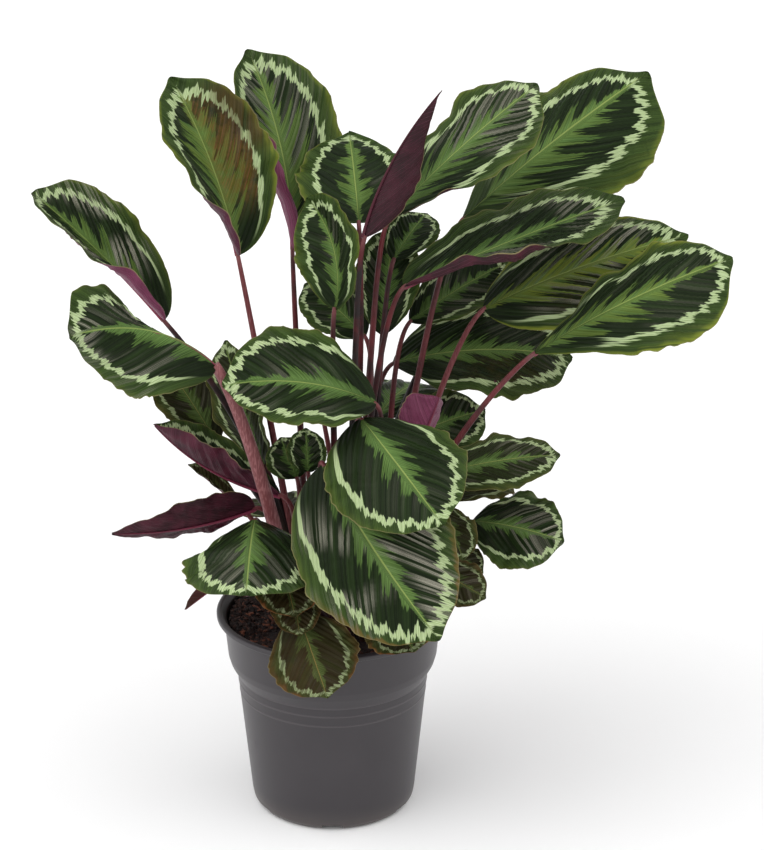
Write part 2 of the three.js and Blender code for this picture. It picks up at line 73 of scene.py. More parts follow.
LEAVES = {
    "left_1": blade("back_left", (-145, 6, 462), (-259, 36, 569), (0.35, -0.75, 0.55),
        width=96, broadest=0.56, blunt=0.38, bow=6, bend=1, fold=(55, 2), curl=(0, -5),
        furl=(50, 0), wave=2, twist=-6),
    "left_2": blade("left_front", (-95, -65, 446), (-214, -110, 488), (0, -0.6, 0.8),
        width=116, broadest=0.46, blunt=0.42, bow=14, bend=24, fold=(-42, -32), curl=(-5, 0),
        wave=3, twist=-60, sheath=6),
    "left_3": blade("left_front", (-45, -10, 303), (-155, -20, 375), (0.1, -0.2, 0.95),
        width=66, bow=-12, fold=(60, 45), curl=(15, 0), wave=3),
    "left_4": blade("left_front", (-68, -10, 291), (-192, -50, 284), (0, 0.75, 0.65),
        width=74, broadest=0.4, bow=-7, fold=(8, 5), curl=(0, 0), wave=2),
    "left_5": blade("left_front", (-66, -52, 299), (-70, -145, 268), (0, -0.4, 0.9),
        width=132, broadest=0.52, blunt=0.46, bow=10, fold=(-12, -18), curl=(-10, -20), wave=3),
    "left_6": blade("back_left", (-105, 60, 325), (-160, 75, 410), (0.3, -0.8, 0.5),
        width=62, bow=5, fold=(10, 10), curl=(0, 0), wave=3),
    "left_7": blade("back_left", (-60, 30, 315), (-95, 60, 425), (-0.7, -0.6, 0.2),
        width=70, bow=5, fold=(10, 10), curl=(0, 0), wave=3),
    "left_8": blade("left", (-85, 20, 283), (-130, 30, 317), (0.5, -0.4, 0.7),
        width=22, bow=1, fold=(40, 40), curl=(0, 0), wave=1),

    "top_1": blade("back_left", (-80, 20, 517), (-138, 60, 666), (0.5, -0.8, 0.35),
        width=120, broadest=0.48, bow=6, bend=4, fold=(32, 12), curl=(0, -10), furl=(60, 0),
        wave=3, twist=-20),
    "top_2": blade("back_left", (-35, 95, 499), (-76, 155, 668), (0.45, -0.8, 0.35),
        width=124, bow=6, bend=8, fold=(10, 8), curl=(28, -5), furl=(185, 0), wave=3),
    "top_3": blade("centre", (25, 15, 548), (15, 140, 596), (0, -0.3, 0.95),
        width=102, broadest=0.48, bow=8, fold=(-5, -5), curl=(-10, -10), wave=3),
    "top_4": blade("centre", (30, -38, 551), (95, -28, 676), (1, 0.3, 0),
        width=56, broadest=0.32, bow=-2, fold=(60, 65), curl=(10, 10), wave=1),

    "right_1": blade("centre", (50, 0, 555), (178, 30, 667), (-0.3, -0.7, 0.65),
        width=98, broadest=0.66, bow=8, fold=(-18, 8), curl=(0, -10), wave=4),
    "right_2": blade("right", (116, 90, 528), (284, 150, 648), (-0.25, -0.75, 0.6),
        width=156, broadest=0.64, bow=10, fold=(-30, 0), curl=(0, 0), wave=4),
    "right_3": blade("centre", (64, -20, 502), (255, 30, 565), (-0.2, -0.35, 0.9),
        width=108, bow=3, fold=(0, 10), curl=(0, 0), furl=(0, 70), wave=4),
    "right_4": blade("right", (135, 45, 460), (315, 55, 525), (-0.2, -0.6, 0.75),
        width=114, broadest=0.5, bow=10, fold=(-12, -5), curl=(0, -5), wave=3),
    "right_5": blade("right_front", (175, -30, 444), (342, -40, 534), (-0.3, -0.6, 0.75),
        width=118, broadest=0.67, bow=10, fold=(-18, -5), curl=(-5, -5), wave=4),
    "right_6": blade("right", (70, 88, 433), (160, 135, 474), (0.1, -0.6, 0.75),
        width=58, bow=6, fold=(5, 5), curl=(0, 0), wave=2),
    "right_7": blade("back", (55, 95, 391), (220, 110, 390), (0, -0.55, 0.83),
        width=118, bow=16, fold=(2, 5), curl=(-5, 0), furl=(0, 30), wave=4),
    "right_8": blade("right_front", (88, -48, 338), (200, -45, 356), (0, -0.5, 0.85),
        width=60, bow=6, fold=(0, 0), curl=(-10, -10), wave=3),
    "right_9": blade("right_front", (125, -20, 283), (205, -50, 276), (0.2, -0.6, 0.75),
        width=84, bow=6, fold=(0, 0), curl=(-10, -10), wave=3),
    "right_10": blade("right_front", (90, -60, 315), (115, -110, 285), (0.3, -0.6, 0.7),
        width=45, bow=5, fold=(10, 10), curl=(0, 0), wave=2),
    "right_11": blade("right_front", (85, -74, 262), (135, -95, 242), (0.2, -0.7, 0.7),
        width=45, bow=4, fold=(0, 0), curl=(0, 0), wave=2),
    "right_12": blade("right_front", (90, -34, 259), (134, -54, 247), (0.2, -0.6, 0.7),
        width=42, bow=4, fold=(0, 0), curl=(0, 0), wave=2),

    "centre_1": blade("centre", (5, -24, 482), (-20, 26, 568), (-0.1, -0.8, 0.5),
        width=74, broadest=0.5, bow=6, bend=12, fold=(0, 50), curl=(-5, 0), wave=3),
    "centre_2": blade("front", (40, -62, 411), (-90, -82, 434), (0, -0.4, 0.9),
        width=114, bow=14, fold=(10, 18), curl=(-10, -10), wave=3),
    "centre_3": blade("back", (45, 60, 430), (55, 110, 515), (0, -0.7, 0.7),
        width=60, bow=5, fold=(5, 5), curl=(0, 0), wave=2),
    "centre_4": blade("back", (30, 70, 425), (-25, 100, 465), (0.1, -0.7, 0.7),
        width=60, bow=5, fold=(5, 5), curl=(0, 0), wave=2),
    "centre_5": blade("front", (76, -30, 353), (95, -20, 400), (-0.4, 0.8, 0.2),
        width=54, bow=0, fold=(20, 20), curl=(20, 20), wave=1),
    "centre_6": blade("right", (60, 66, 325), (140, 94, 345), (0, -0.6, 0.8),
        width=70, bow=5, fold=(0, 0), curl=(0, 0), wave=2),
    "centre_7": blade("back", (55, 60, 500), (85, 120, 525), (0, -0.6, 0.8),
        width=50, bow=4, fold=(5, 5), curl=(0, 0), wave=2),
    "centre_8": blade("left_front", (-30, -15, 322), (-44, -25, 365), (0, -0.9, 0.4),
        width=42, bow=3, fold=(5, 5), curl=(0, 0), wave=2),
    "centre_9": blade("front", (-20, -24, 331), (-21, -44, 381), (0, -0.9, -0.2),
        width=36, bow=3, fold=(5, 5), curl=(0, 0), wave=2),

    "front_1": blade("front", (27, -80, 404), (96, -165, 341), (0.1, -0.55, 0.83),
        width=130, broadest=0.5, bow=10, bend=4, fold=(-5, -5), curl=(-10, -10), wave=3),
    "front_2": blade("front", (-5, -100, 370), (94, -165, 236), (-0.1, -0.9, 0.38),
        width=138, broadest=0.46, bow=12, bend=3, fold=(-5, -5), curl=(-10, -10), wave=3),
    "front_3": blade("left_front", (-45, -50, 262), (-30, -112, 232), (0, -0.6, 0.8),
        width=62, bow=5, fold=(5, 5), curl=(0, 0), wave=2),
    "front_4": blade("front", (-28, -90, 226), (-2, -125, 161), (0, -0.87, 0.48),
        width=80, bow=6, fold=(0, 0), curl=(-10, -10), wave=3),
    "front_5": blade("front", (48, -80, 225), (73, -125, 205), (0, -0.5, 0.85),
        width=66, bow=3, fold=(0, 0), curl=(0, 0), wave=2),
    "front_6": blade("left_front", (-35, -55, 246), (-26, -118, 217), (0, -0.6, 0.8),
        width=45, bow=3, fold=(0, 0), curl=(0, 0), wave=2),
    "front_7": blade("left", (-75, -20, 245), (-130, -50, 210), (0, 0.6, 0.8),
        width=22, bow=0, fold=(40, 40), curl=(20, 20), wave=1),

    "back_1": blade("back", (40, 110, 330), (90, 200, 330), (0.1, 0.2, 0.95),
        width=95, bow=12, fold=(0, 0), curl=(-10, -10), wave=3),
    "back_2": blade("back", (-10, 100, 340), (-30, 210, 350), (0, 0.2, 0.95),
        width=100, bow=12, fold=(0, 0), curl=(-10, -10), wave=3),
    "back_3": blade("back_left", (-45, 80, 245), (-80, 160, 225), (-0.2, 0.3, 0.9),
        width=85, bow=10, fold=(0, 0), curl=(-10, -10), wave=3),
    "back_4": blade("back", (110, 160, 420), (200, 250, 470), (0, -0.2, 0.95),
        width=110, bow=12, fold=(0, 0), curl=(-10, -10), wave=3),
    "back_5": blade("right", (100, 60, 270), (155, 130, 260), (0.2, 0.2, 0.95),
        width=85, bow=10, fold=(0, 0), curl=(-10, -10), wave=3),
}

# The usual look: age browns a leaf, warmth reddens its middle, painted_sheen paints streaks
# of sheen on its dark field as painted highlights, purple brightens its underside or below 0
# darkens it as painted shade, gold_and_glow yellows its margin, partly in its own yellow green
# and partly as a painted glow of light through the thin edge, and scorch dries its edge. ring
# is the ring's place and feather the feather's width, as shares of the half-width. sweep slants
# the veins. hem rolls up the left and right edge by so many degrees, as far along as hem_end.
USUAL_LOOK = dict(age=0, warmth=0, painted_sheen=0.2, purple=0.05, feather=0.26, ring=0.71, gold_and_glow=0.15,
                  scorch=0, hem=(0, 0), hem_end=0.5, sweep=1.2)

# What a leaf has instead of the usual look, or of what the plan says of its shape.
LOOKS = {
    "left_1": {"painted_sheen": 2.2, "gold_and_glow": 0.5, "feather": 0.27, "sweep": 2.2, "purple": 1.0,
               "hem": (170, 0)},
    "left_2": {"painted_sheen": 1.2, "feather": 0.2, "ring": 0.73, "fold": (-42, -40), "twist": -100,
               "bend": 12, "broadest": 0.56, "blunt": 0.36},
    "left_3": {"purple": 0.1},
    "left_4": {"purple": -0.2, "sweep": 2.2, "fold": (22, 12), "width": 66, "broadest": 0.3,
               "blunt": 0.8},
    "left_5": {"painted_sheen": 0.5, "feather": 0.2},
    "left_6": {"age": 0.35},
    "left_7": {"age": 0.25},
    "left_8": {"age": 0.8},
    "top_1": {"warmth": 0.9, "gold_and_glow": 0.8, "purple": 0.4, "feather": 0.34, "ring": 0.66,
              "sweep": 1.6, "hem": (60, 0)},
    "top_2": {"painted_sheen": 0.6, "gold_and_glow": 0.6, "purple": 0.9, "feather": 0.34, "ring": 0.66,
              "sweep": 1.8, "hem": (150, 0), "hem_end": 0.75},
    "top_3": {"gold_and_glow": 0.5, "feather": 0.22, "ring": 0.66},
    "top_4": {"purple": -0.6, "width": 60, "broadest": 0.38, "blunt": 1.1, "fold": (40, 40),
              "curl": (90, 90), "bow": -9, "twist": 45, "sweep": 2.2},
    "right_1": {"painted_sheen": 0.8, "feather": 0.3, "gold_and_glow": 0.3, "ring": 0.69, "sweep": 2.0,
                "hem": (0, 130), "hem_end": 0.6},
    "right_2": {"painted_sheen": 0.0, "gold_and_glow": 0.5, "feather": 0.27, "ring": 0.62, "sweep": 1.7},
    "right_3": {"painted_sheen": 0.8, "feather": 0.2, "ring": 0.66, "sweep": 2.4, "purple": -0.1,
                "blunt": 0.42, "hem": (0, 175), "hem_end": 0.64},
    "right_4": {"warmth": 0.1, "painted_sheen": 1.3, "gold_and_glow": 2.0, "feather": 0.34, "ring": 0.69,
                "sweep": 2.0},
    "right_5": {"painted_sheen": 0.15, "gold_and_glow": 0.9, "feather": 0.25, "ring": 0.67, "sweep": 1.9},
    "right_6": {"painted_sheen": 0.5},
    "right_7": {"feather": 0.2, "warmth": 0.15, "sweep": 1.8},
    "right_8": {"age": 0.2, "painted_sheen": 0.6, "sweep": 1.8},
    "right_9": {"painted_sheen": 1.3, "feather": 0.2},
    "right_10": {"age": 0.4},
    "right_11": {"age": 0.6, "painted_sheen": 0.6},
    "right_12": {"age": 0.4},
    "centre_1": {"painted_sheen": 0.3, "gold_and_glow": 0.4, "ring": 0.66, "feather": 0.22, "width": 70},
    "centre_2": {"painted_sheen": 0.3, "feather": 0.24, "ring": 0.74},
    "centre_5": {"purple": 0.75, "width": 58, "broadest": 0.62, "blunt": 0.24, "curl": (50, 50)},
    "front_1": {"painted_sheen": 0.1, "feather": 0.19, "ring": 0.73, "sweep": 1.5},
    "front_2": {"painted_sheen": 2.0, "scorch": 0.35, "feather": 0.19, "ring": 0.73, "sweep": 1.8},
    "front_3": {"age": 0.7, "scorch": 0.8},
    "front_4": {"age": 0.65, "warmth": 0.15, "painted_sheen": 0.1, "scorch": 0.25, "feather": 0.2},
    "front_5": {"age": 0.5, "scorch": 1.0},
    "front_6": {"age": 0.8},
    "front_7": {"age": 0.9},
    "back_3": {"age": 0.4},
    "back_5": {"age": 0.4},
}

# How pink a stalk is, drawn between two values where it isn't given, and how many times
# thicker one ends.
BLUSHING = {"left_2": 1.7, "right_5": 0.15, "right_4": 0.4, "top_1": 0.6, "right_2": 0.2}
USUAL_BLUSH = (-0.6, 0.3)
THICK = {"left_2": 2.4}

# The soil's top: its height, its radius and how high its hills are.
SOIL_TOP = 172
SOIL_RADIUS = 94.6
SOIL_HILLS = 1.25

# The bank of soil against the pot's wall is a closed ring. This share of its section is its
# top and the rest its underside. Its foot is sunk and runs in under the soil's top, and its
# clods rise over a short way from there.
BANK_FOOT = 62
BANK_BOTTOM = 167
BANK_TOP_SHARE = 0.8
BANK_LAP = 2
BANK_SINK = 0.8
BANK_CLODS = 5
BANK_CLOD_RISE = 6
BANK_POINTS = (361, 33)

# A stalk starts a little above the soil, away from its shoot's middle. It leans out and rises
# by shares of its length, and runs straight from its knee to its end inside the blade's foot.
STALK_START = SOIL_TOP + 4
STALK_SPREAD = 4.5
STALK_LEAN = 0.08
STALK_RISE = 0.5
STALK_KNEE = 26
STALK_LAP = 2.5

# A shoot's crown stands in its hole and narrows above the soil. Sheaths stand round it, sunk
# in soil and crown; their route has shares of their height and how far they swing out.
CROWN_FOOT = 148
CROWN_TOP = 198
CROWN_RADIUS = 11
CROWN_NECK = 5.5
CROWN_STEPS = 8
SHEATH_SINK = 4
SHEATH_HEIGHTS = (30, 58)
SHEATH_ROUTE = ((0, 0), (0.4, 1.5), (0.8, -1.5), (1, -3))
SHEATH_RADII = (3.9, 1.2)
SHEATH_STEPS = 10

# The pot's turned profile: radius and height.
POT_BODY_FOOT = (75.2, 12)
POT_BODY_TOP = (86.6, 127)
POT_OUTSIDE = [
    (0, 0), (67, 0), (71.5, 1.8), (74, 5.5), POT_BODY_FOOT, POT_BODY_TOP, (86.8, 129.6),
    (87.4, 130.1), (87.5, 130.9), (87.9, 131.6), (93, 141), (95, 148), (98.5, 184),
    (105, 184.6), (105, 188.5), (103.2, 190), (100.4, 190),
]
POT_INSIDE = [
    (96.1, 184), (92.6, 149), (88.6, 140), (83.2, 130), (72.8, 14), (68.1, 3.4), (0, 3.4),
]
POT_STEP = 130.6
POT_LIP = 184
ROUNDING_STEPS = 3

# The fine rings: how high they lie, and half of one's height at its foot and at its crest.
POT_RINGS = (112, 122)
RING_FOOT = 0.9
RING_CREST = 0.35

# Painted shade, in peat brown, darkens all that lies inside the middle of the pot's wall, from
# the first height on and in full from the second. The middle has a radius at the floor, widens
# with the height, and lies further out in the lip.
RIM_SHADE_HEIGHTS = (140, 150)
WALL_RADIUS = 79.2
WALL_SPREAD = 0.0986
LIP_WIDENING = 4.6
DUST_TOP = 30

# The drain slots: width, depth and height of the block that cuts one.
DRAIN_SLOTS = 6
DRAIN_SIZE = (19, 22, 11)
DRAIN_RADIUS = 71

# Angles in radians: by how much two faces turn where their edge is sharp, on a leaf or stalk
# and on the pot, and how wide a lamp shines.
SHARP_TURN = 1.0
SHARP_CORNER = math.radians(40)
LAMP_SPREAD = math.radians(80)


# ---- node trees, written as formulas ---------------------------------------------------


def tint(code):
    """A paint-chart colour such as #808080 as the linear values that a shader mixes."""
    shares = [int(code[i:i + 2], 16) / 255 for i in (1, 3, 5)]
    return tuple(((s + 0.055) / 1.055) ** 2.4 if s > 0.04045 else s / 12.92 for s in shares)


def pick(sockets, key):
    """The socket of that name or number, among those that the node shows."""
    shown = [socket for socket in sockets if socket.enabled]
    if isinstance(key, int):
        return shown[key]
    return next(socket for socket in shown if socket.name == key)


def plug(tree, value, socket):
    """Links a field to a socket, or sets the socket to a plain value."""
    if isinstance(value, Field):
        tree.links.new(value.socket, socket)
    elif socket.type == "RGBA":
        socket.default_value = (*value[:3], 1)
    elif socket.type == "VECTOR" and not hasattr(value, "__len__"):
        socket.default_value = (value, value, value)
    else:
        socket.default_value = value


def node(tree, kind, settings=None, inputs=None, output=0):
    """Adds any node: its settings first, then its inputs, and returns one output."""
    made = tree.nodes.new(kind)
    for name, value in (settings or {}).items():
        setattr(made, name, value)
    for key, value in (inputs or {}).items():
        plug(tree, value, pick(made.inputs, key))
    return Field(tree, pick(made.outputs, output))


def many(term):
    """Whether a term is a vector or a colour, not a single number."""
    if isinstance(term, Field):
        return term.socket.type in ("VECTOR", "RGBA")
    return hasattr(term, "__len__")


def compute(operation, *terms):
    """A sum of fields and plain values: vector maths if any of them is a vector."""
    tree = next(term.tree for term in terms if isinstance(term, Field))
    kind = "ShaderNodeVectorMath" if any(many(term) for term in terms) else "ShaderNodeMath"
    return node(tree, kind, {"operation": operation}, dict(enumerate(terms)))


class Field:
    """An output socket that can be written into a formula."""

    def __init__(self, tree, socket):
        self.tree = tree
        self.socket = socket

    def __add__(self, other):
        return compute("ADD", self, other)

    def __radd__(self, other):
        return compute("ADD", other, self)

    def __sub__(self, other):
        return compute("SUBTRACT", self, other)

    def __rsub__(self, other):
        return compute("SUBTRACT", other, self)

    def __mul__(self, other):
        return compute("MULTIPLY", self, other)

    def __rmul__(self, other):
        return compute("MULTIPLY", other, self)

    def __truediv__(self, other):
        return compute("DIVIDE", self, other)

    def __rtruediv__(self, other):
        return compute("DIVIDE", other, self)

    def __pow__(self, other):
        return compute("POWER", self, other)

    def __neg__(self):
        return compute("MULTIPLY", self, -1)

    def __abs__(self):
        return compute("ABSOLUTE", self)

    def split(self):
        """The three parts of a vector."""
        parts = node(self.tree, "ShaderNodeSeparateXYZ", {}, {0: self}).socket.node
        return [Field(self.tree, socket) for socket in parts.outputs]


def sine(angle):
    return compute("SINE", angle)


def cosine(angle):
    return compute("COSINE", angle)


def ramp(value, low, high):
    """0 below low, 1 above high and smooth between; it falls instead if low is above high."""
    settings = {"interpolation_type": "SMOOTHSTEP"}
    return node(value.tree, "ShaderNodeMapRange", settings,
                {"Value": value, "From Min": low, "From Max": high})


def mix(under, over, amount):
    """A colour laid over another by that amount."""
    tree = next(term.tree for term in (under, over, amount) if isinstance(term, Field))
    return node(tree, "ShaderNodeMix", {"data_type": "RGBA"},
                {"Factor": amount, "A": under, "B": over})


def grain(place, scale, detail=2.0, roughness=0.5):
    """Smooth noise over a place (a vector) or along a line (a number)."""
    line = not many(place)
    return node(place.tree, "ShaderNodeTexNoise", {"noise_dimensions": "1D" if line else "3D"},
                {"W" if line else "Vector": place, "Scale": scale, "Detail": detail,
                 "Roughness": roughness})


def vector(tree, x, y=0, z=0):
    """Three numbers as one place."""
    return node(tree, "ShaderNodeCombineXYZ", {}, {0: x, 1: y, 2: z})


def attribute(tree, name, part="Vector"):
    """What a tree kept on the mesh, as a material reads it; part is Fac for a number."""
    return node(tree, "ShaderNodeAttribute", {"attribute_name": name}, {}, part)


def object_place(tree):
    return node(tree, "ShaderNodeTexCoord", {}, {}, "Object")


def bump(height, depth, strength=1.0):
    return node(height.tree, "ShaderNodeBump", {},
                {"Strength": strength, "Distance": depth, "Height": height})


SHADER_NAMES = {"roughness": "Roughness", "specular": "Specular IOR Level"}


def finish(name, draw, **plain):
    """A material: draw gives the sockets that vary, plain those that are the same all over."""
    material = bpy.data.materials.new(name)
    material.use_nodes = True
    tree = material.node_tree
    tree.nodes.clear()
    shader = tree.nodes.new("ShaderNodeBsdfPrincipled")
    surface = tree.nodes.new("ShaderNodeOutputMaterial")
    tree.links.new(shader.outputs[0], surface.inputs["Surface"])
    for key, value in plain.items():
        plug(tree, value, shader.inputs[SHADER_NAMES[key]])
    for key, value in draw(tree).items():
        plug(tree, value, shader.inputs[key])
    return material


def plan_tree(name, labels):
    """A geometry tree with named inputs, given as {label: kind of socket}."""
    tree = bpy.data.node_groups.new(name, "GeometryNodeTree")
    for label, kind in labels.items():
        tree.interface.new_socket(label, in_out="INPUT", socket_type="NodeSocket" + kind)
    tree.interface.new_socket("Geometry", in_out="OUTPUT", socket_type="NodeSocketGeometry")
    source = tree.nodes.new("NodeGroupInput")
    given = {label: Field(tree, source.outputs[label]) for label in labels}
    return tree, given


def close_tree(tree, geometry, materials):
    """Ends a tree: instances made real, then one material for each layer of faces."""
    made = node(tree, "GeometryNodeRealizeInstances", {}, {"Geometry": geometry})
    for selection, material in materials:
        inputs = {"Geometry": made, "Material": material}
        if selection is not None:
            inputs["Selection"] = selection
        made = node(tree, "GeometryNodeSetMaterial", {}, inputs)
    tree.links.new(made.socket, tree.nodes.new("NodeGroupOutput").inputs[0])


def joined(tree, *shapes):
    """Several shapes as one."""
    gather = tree.nodes.new("GeometryNodeJoinGeometry")
    for shape in shapes:
        tree.links.new(shape.socket, gather.inputs[0])
    return Field(tree, gather.outputs[0])


def noted(tree, geometry, name, value, kind="FLOAT_VECTOR", domain="POINT"):
    """Keeps a field on the mesh under a name, for the materials and for kept."""
    return node(tree, "GeometryNodeStoreNamedAttribute",
                {"data_type": kind, "domain": domain},
                {"Geometry": geometry, "Name": name, "Value": value})


def kept(tree, name):
    """A number that noted has kept, read again in the same tree."""
    return node(tree, "GeometryNodeInputNamedAttribute", {"data_type": "FLOAT"},
                {"Name": name})


def placed(tree, geometry, position):
    """Moves every point to a place of its own."""
    return node(tree, "GeometryNodeSetPosition", {},
                {"Geometry": geometry, "Position": position})


def shifted(tree, geometry, offset):
    """Moves every point by its own offset."""
    return node(tree, "GeometryNodeSetPosition", {}, {"Geometry": geometry, "Offset": offset})


def plane(tree, size_x, size_y, count_x, count_y):
    """A flat grid with that many points each way."""
    return node(tree, "GeometryNodeMeshGrid", {},
                {"Size X": size_x, "Size Y": size_y, "Vertices X": count_x,
                 "Vertices Y": count_y})


def welded(tree, geometry, gap):
    """Closes the seams where points lie less than the gap apart."""
    return node(tree, "GeometryNodeMergeByDistance", {}, {"Geometry": geometry, "Distance": gap})


def tube(tree, curve, sides, radius):
    """A tube with closed ends along a curve."""
    circle = node(tree, "GeometryNodeCurvePrimitiveCircle", {"mode": "RADIUS"},
                  {"Resolution": sides, "Radius": 1})
    return node(tree, "GeometryNodeCurveToMesh", {},
                {"Curve": curve, "Profile Curve": circle, "Scale": radius, "Fill Caps": True})


def smoothed(tree, geometry):
    """Smooth faces, with sharp edges where two faces turn by more than SHARP_TURN."""
    turn = node(tree, "GeometryNodeInputMeshEdgeAngle")
    smooth = node(tree, "GeometryNodeSetShadeSmooth", {"domain": "FACE"},
                  {"Geometry": geometry})
    return node(tree, "GeometryNodeSetShadeSmooth", {"domain": "EDGE"},
                {"Geometry": smooth, "Selection": compute("GREATER_THAN", turn, SHARP_TURN),
                 "Shade Smooth": False})


def show(name, data):
    """Puts a mesh, curve, lamp or camera in the scene under a name."""
    thing = bpy.data.objects.new(name, data)
    bpy.context.scene.collection.objects.link(thing)
    return thing


def grow(name, tree, values, seed_data=None):
    """Runs a tree once and returns what it grows as a plain mesh object at the origin."""
    start = show(name + "_start", seed_data or bpy.data.meshes.new(name))
    modifier = start.modifiers.new("Growth", "NODES")
    modifier.node_group = tree
    for item in tree.interface.items_tree:
        if item.item_type == "SOCKET" and item.in_out == "INPUT" and item.name in values:
            modifier[item.identifier] = values[item.name]
    depsgraph = bpy.context.evaluated_depsgraph_get()
    mesh = bpy.data.meshes.new_from_object(
        start.evaluated_get(depsgraph), preserve_all_data_layers=True, depsgraph=depsgraph)
    start.modifiers.remove(modifier)
    bpy.data.objects.remove(start)
    if not mesh.polygons:
        raise RuntimeError(f"the tree {tree.name} grew nothing for {name}")
    mesh.name = name
    return show(name, mesh)


def settle(piece, slot, *nodes):
    """Ties a finished piece to the plant, for the nodes that it stands for."""
    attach(piece, BODY)
    if nodes:
        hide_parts(*nodes)


# ---- leaves ----------------------------------------------------------------------------

# Where a rolled hem begins, as a share of the half-width, and over what share of the length
# it opens out again.
HEM_START = 0.7
HEM_FADE = 0.3

# In metres: half the blade's width where the stalk meets it, and what its two sides may be
# apart where they close at the edge.
ROOT_HALF_WIDTH = 2 * MM
EDGE_GAP = 0.001 * MM

# The height of the ridges between the veins and of the longer pleats, in times the relief.
RIDGE_RELIEF = 1.7
PLEAT_RELIEF = 8

# How far apart the two sides of a leaf, and one leaf and the next, lie in the noise, and how
# much a leaf's waves shift with each millimetre of its length.
SIDE_SHIFT = 37
LEAF_SHIFT = 7.3
WAVE_SHIFT = 0.37

# The midrib's tube, which ends a little before the tip.
RIB_POINTS = 72
RIB_SIDES = 10
RIB_END = 0.985
RIB_TAPER = 0.8

# Fold, Curl, Furl and Hem hold a left and a right value, and Hem where it ends too.
LEAF_INPUTS = {
    "Stations": "Int", "Columns": "Int",
    "Root": "Vector", "Along": "Vector", "Face": "Vector", "Side": "Vector",
    "Length": "Float", "Half Width": "Float", "Skew": "Float", "Blunt": "Float",
    "Bow": "Float", "Bend": "Float", "Twist": "Float", "Wave": "Float", "Phase": "Float",
    "Fold": "Vector", "Curl": "Vector", "Furl": "Vector", "Hem": "Vector",
    "Thickness": "Float", "Relief": "Float", "Sway": "Float",
    "Vein Spacing": "Float", "Sweep": "Float", "Rib Radius": "Float",
    "Growth": "Vector", "Tone": "Vector", "Marks": "Vector",
}


def blade_outline(given, t, phase):
    """The leaf's half-width at t as a share of the broadest, and the even place along it."""
    even = t ** given["Skew"]
    swell = compute("MAXIMUM", sine(math.pi * even), 0) ** given["Blunt"]
    tip = 1 - 0.5 * ramp(t, 0.9, 0.99)
    arch = 4 * t * (1 - t)
    # Two waves and some noise make the edge uneven, most of all halfway along.
    scallop = (0.014 * sine(29 * t + phase) + 0.009 * sine(61 * t + 2 * phase)
               + 0.09 * (grain(t + phase, 17.0, 1.0) - 0.5))
    return swell * tip * (1 + arch * scallop), even


def vein_place(given, t, width):
    """Which lateral vein a point is on, counted from the root, and where that vein springs."""
    slant = given["Half Width"] * width * given["Sweep"] * (0.65 + 0.35 * width)
    springs = t * given["Length"] - slant
    return springs / given["Vein Spacing"], springs / given["Length"]


def blade_frame(given, t):
    """The midrib's place at t, and which way the blade's upper side and right side are."""
    arch = 4 * t * (1 - t)
    lean = 4 * (1 - 2 * t)
    spine = (given["Root"] + given["Along"] * (given["Length"] * t)
             + given["Face"] * (given["Bow"] * arch) + given["Side"] * (given["Bend"] * arch))
    tangent = compute("NORMALIZE", given["Along"] * given["Length"]
                      + given["Face"] * (given["Bow"] * lean)
                      + given["Side"] * (given["Bend"] * lean))
    turned_face = node(t.tree, "ShaderNodeVectorRotate", {"rotation_type": "AXIS_ANGLE"},
                       {"Vector": given["Face"], "Axis": tangent,
                        "Angle": given["Twist"] * (t - 0.5)})
    leaning = compute("DOT_PRODUCT", turned_face, tangent)
    up = compute("NORMALIZE", turned_face - tangent * leaning)
    return spine, up, compute("CROSS_PRODUCT", tangent, up)


def blade_lift(given, t, q, even, vein, phase):
    """How far waves, ridges, pleats and bulges lift the blade off its folded section."""
    reach = abs(q)
    ripple = given["Wave"] * sine(math.pi * t) * (
        reach * reach * sine(18 * t + phase)
        + 0.4 * reach * reach * reach * sine(47 * t + 1.7 * phase))
    inner = ramp(reach, 0.03, 0.2) * ramp(reach, 1, 0.8) * sine(math.pi * even)
    pleat = sine(2.3 * vein + phase) * sine(0.9 * vein - phase)
    relief = given["Relief"] * inner * (
        RIDGE_RELIEF * sine(2 * math.pi * vein) + PLEAT_RELIEF * pleat)
    patch = vector(t.tree, 3.2 * even, 1.3 * q, phase)
    sway = given["Sway"] * (grain(patch, 1.0, 1.0) - 0.5) * ramp(t, 0, 0.2) * ramp(reach, 0, 0.4)
    return ripple + relief + sway


